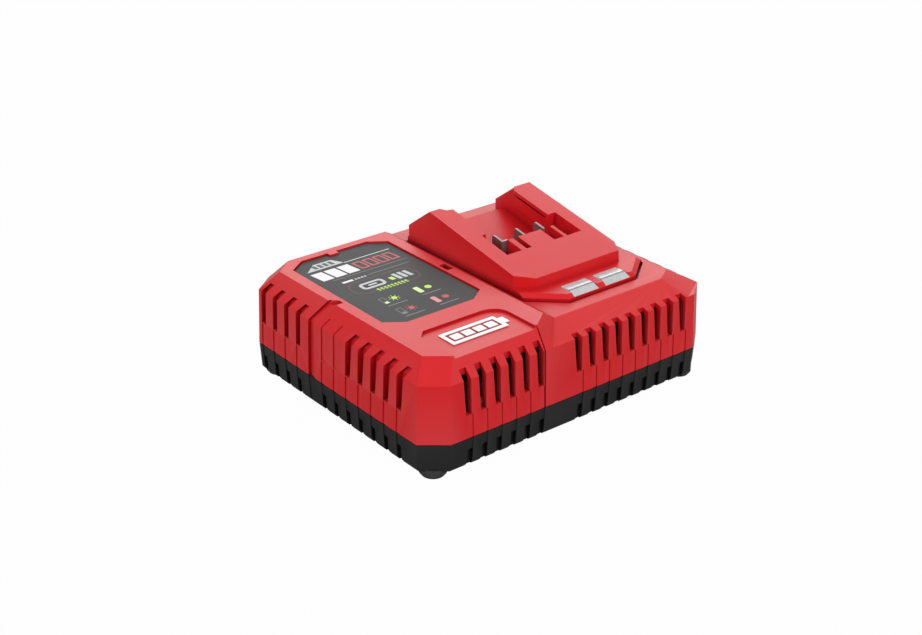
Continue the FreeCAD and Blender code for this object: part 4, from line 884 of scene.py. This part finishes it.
@dataclass(frozen=True)
class Rounded:
    """A rounded rectangle, or a disc when its radius is as large as its halves."""

    x: float
    y: float
    half_x: float
    half_y: float
    radius: float
    steps: int = 6

    def outline(self, x: float = 0.0, y: float = 0.0) -> Outline:
        """Its outline.

        Args:
            x: shift to the right.
            y: shift to the rear.

        Returns:
            The points, from corner to corner.
        """
        points = []
        for turn, (sx, sy) in enumerate(((1, 1), (-1, 1), (-1, -1), (1, -1))):
            for step in range(self.steps + 1):
                angle = math.radians(QUARTER_TURN * turn + QUARTER_TURN * step / self.steps)
                mid_x = x + self.x + sx * (self.half_x - self.radius)
                mid_y = y + self.y + sy * (self.half_y - self.radius)
                points.append((mid_x + self.radius * math.cos(angle), mid_y + self.radius * math.sin(angle)))
        return points


@dataclass(frozen=True)
class LightSign:
    """A battery beside a light over a plain line, measured from the battery's middle.

    A steady light goes with a full battery, and a light with rays with an almost empty one.
    """

    full: Rounded = Rounded(0.0, 0.0, 1.5, 3.6, 0.7)
    case: Rounded = Rounded(0.0, 0.0, 1.7, 3.7, 0.7)
    hollow: Rounded = Rounded(0.0, 0.0, 1.3, 3.3, 0.4)
    rest: Rounded = Rounded(0.0, -2.3, 1.0, 1.0, 0.3)
    steady_light: Rounded = Rounded(6.2, 0.1, 1.9, 1.9, 1.9)
    ray_light: Rounded = Rounded(6.2, 0.1, 1.6, 1.6, 1.6)
    rays: int = 8
    ray_from: float = 2.1
    ray_to: float = 3.2
    ray_half: float = 0.2
    line: BarRow = BarRow(Ink.GREY, -2.0, 11.8, -6.6, -5.9)

    def ray(self, index: int, x: float, y: float) -> Outline:
        """Corners of one ray.

        Args:
            index: its place round the light.
            x: middle of the battery.
            y: middle of the sign.

        Returns:
            The four corners.
        """
        angle = math.radians(FULL_TURN / self.rays * index)
        out_x, out_y = math.cos(angle), math.sin(angle)
        side_x, side_y = -out_y * self.ray_half, out_x * self.ray_half
        mid_x, mid_y = x + self.ray_light.x, y + self.ray_light.y
        near_x, near_y = mid_x + out_x * self.ray_from, mid_y + out_y * self.ray_from
        far_x, far_y = mid_x + out_x * self.ray_to, mid_y + out_y * self.ray_to
        return [
            (near_x - side_x, near_y - side_y), (far_x - side_x, far_y - side_y),
            (far_x + side_x, far_y + side_y), (near_x + side_x, near_y + side_y)]


@dataclass
class LabelPrint:
    """Plain bars, symbols and lines on the label, in millimetres.

    It has a header, blocks, a battery with its level and four light signs.
    """

    level: float = 61.2
    thickness: float = 0.03
    over_layers: float = 2.0
    slant: float = -0.12
    band: tuple[tuple[float, float], ...] = ((-74.6, 50.6), (-51.6, 50.6), (-55.4, 57.6), (-66.6, 57.6))
    header_bars: tuple[BarRow, ...] = (
        BarRow(Ink.DARK, -68.6, 2.2, 52.0, 56.2, 4, 3.4),
        BarRow(Ink.PALE, -51.6, 29.6, 49.9, 50.7),
    )
    block_bars: tuple[BarRow, ...] = (
        BarRow(Ink.WHITE, -73.6, 6.9, 37.0, 47.6, 3, 8.2),
        BarRow(Ink.RED, -48.4, 5.3, 37.6, 47.0, 4, 6.5, 1.1),
        BarRow(Ink.GREY, -70.0, 48.0, 34.4, 34.8),
        BarRow(Ink.WHITE, -67.0, 6.6, 28.4, 30.2),
        BarRow(Ink.PALE, -59.2, 1.2, 28.6, 30.0, 4, 1.9),
        BarRow(Ink.GREY, -51.0, 27.0, 29.6, 30.1),
    )
    frame_outer: Rounded = Rounded(-48.4, 18.4, 20.4, 7.6, 6.0)
    frame_inner: Rounded = Rounded(-48.4, 18.4, 20.0, 7.2, 5.6)
    cell_outer: Rounded = Rounded(-55.6, 18.8, 7.4, 3.7, 2.6)
    cell_inner: Rounded = Rounded(-55.6, 18.8, 5.6, 2.0, 0.9)
    battery_bars: tuple[BarRow, ...] = (
        BarRow(Ink.PALE, -58.2, 5.2, 18.1, 19.5),
        BarRow(Ink.GREEN, -44.6, 2.6, 16.6, 20.2),
        BarRow(Ink.PALE, -40.6, 2.2, 15.4, 22.6, 3, 3.5),
        BarRow(Ink.GREEN, -57.4, 1.3, 10.0, 12.8, 9, 2.2),
    )
    sign: LightSign = LightSign()
    steady_x: float = -41.3
    ray_x: float = -62.9
    green_y: float = -1.3
    red_y: float = -15.9
    marks: dict[Ink, list[Mark]] = field(default_factory=dict)

    def build(self) -> None:
        """Draws the print and makes one piece of it for each ink."""
        self._add(Ink.PALE, list(self.band))
        self._bars(self.header_bars)
        self._bars(self.block_bars)
        self._add(Ink.DIM_RED, self.frame_outer.outline(), self.frame_inner.outline())
        self._add(Ink.PALE, self.cell_outer.outline(), self.cell_inner.outline())
        self._bars(self.battery_bars)
        self._steady_sign(self.green_y, Ink.GREEN, Ink.PALE_GREEN)
        self._steady_sign(self.red_y, Ink.RED, Ink.PINK)
        self._ray_sign(self.green_y, Ink.GREEN, Ink.PALE_GREEN)
        self._ray_sign(self.red_y, Ink.RED, Ink.GREY)
        for ink in self.marks:
            self._piece(ink)

    def _add(self, ink: Ink, outline: Outline, hole: Outline | None = None) -> None:
        """Keeps one mark for the piece of its ink."""
        self.marks.setdefault(ink, []).append((outline, hole))

    def _bars(self, rows: tuple[BarRow, ...]) -> None:
        """Draws rows of bars.

        Args:
            rows: the rows.
        """
        for row in rows:
            for i in range(row.count):
                hole = row.corners(i, self.slant, row.stroke) if row.stroke else None
                self._add(row.ink, row.corners(i, self.slant, 0.0), hole)

    def _steady_sign(self, y: float, light: Ink, body: Ink) -> None:
        """The sign with a steady light.

        Args:
            y: middle of the sign.
            light: ink of the light.
            body: ink of the battery.
        """
        self._add(body, self.sign.full.outline(self.steady_x, y))
        self._add(light, self.sign.steady_light.outline(self.steady_x, y))
        self._bars((self.sign.line.moved(self.steady_x, y),))

    def _ray_sign(self, y: float, light: Ink, body: Ink) -> None:
        """The sign with a light that has rays.

        Args:
            y: middle of the sign.
            light: ink of the light.
            body: ink of what is left in the battery.
        """
        sign, x = self.sign, self.ray_x
        self._add(Ink.GREY, sign.case.outline(x, y), sign.hollow.outline(x, y))
        self._add(body, sign.rest.outline(x, y))
        self._add(light, sign.ray_light.outline(x, y))
        for i in range(sign.rays):
            self._add(light, sign.ray(i, x, y))
        self._bars((sign.line.moved(x, y),))

    def _piece(self, ink: Ink) -> None:
        """Makes the raised print of one ink. Dark ink lies on top of another.

        Args:
            ink: the ink.
        """
        mesh = bpy.data.meshes.new(f"label_print_{ink.name.lower()}")
        build = bmesh.new()
        lift = self.thickness * (self.over_layers if ink is Ink.DARK else 1.0)
        top = (self.level + lift) * MM
        for outline, hole in self.marks[ink]:
            outer = [build.verts.new((x * MM, y * MM, top)) for x, y in outline]
            if hole is None:
                faces = [build.faces.new(outer)]
            else:
                inner = [build.verts.new((x * MM, y * MM, top)) for x, y in hole]
                pairs = list(zip(outer, inner))
                faces = [
                    build.faces.new((a, next_a, next_b, b))
                    for (a, b), (next_a, next_b) in zip(pairs, pairs[1:] + pairs[:1])]
            base = bmesh.ops.extrude_face_region(build, geom=faces, use_keep_orig=True)
            low = [part for part in base["geom"] if isinstance(part, bmesh.types.BMVert)]
            bmesh.ops.translate(build, verts=low, vec=(0.0, 0.0, -lift * MM))
        bmesh.ops.recalc_face_normals(build, faces=build.faces)
        build.to_mesh(mesh)
        build.free()
        mesh.materials.append(PrintInk(ink).build())
        piece = bpy.data.objects.new(mesh.name, mesh)
        bpy.context.scene.collection.objects.link(piece)
        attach(piece, "charger")


def main() -> None:
    """Builds the scene in order."""
    logging.basicConfig(level=logging.INFO, format="%(name)s: %(message)s")
    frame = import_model()
    PhotoCamera().build()
    log.info("camera")
    Studio().build()
    log.info("studio")
    dresser = Dresser(frame["nodes"])
    housing = Housing()
    housing.dress(dresser)
    log.info("housing")
    fittings = Fittings()
    fittings.dress(dresser)
    log.info("fittings")
    LabelPrint().build()
    log.info("label print")
    Inside().dress(dresser)
    log.info("inner parts")
    housing.round(dresser)
    fittings.round(dresser)
    log.info("rounded edges")


if __name__ == "__main__":
    main()
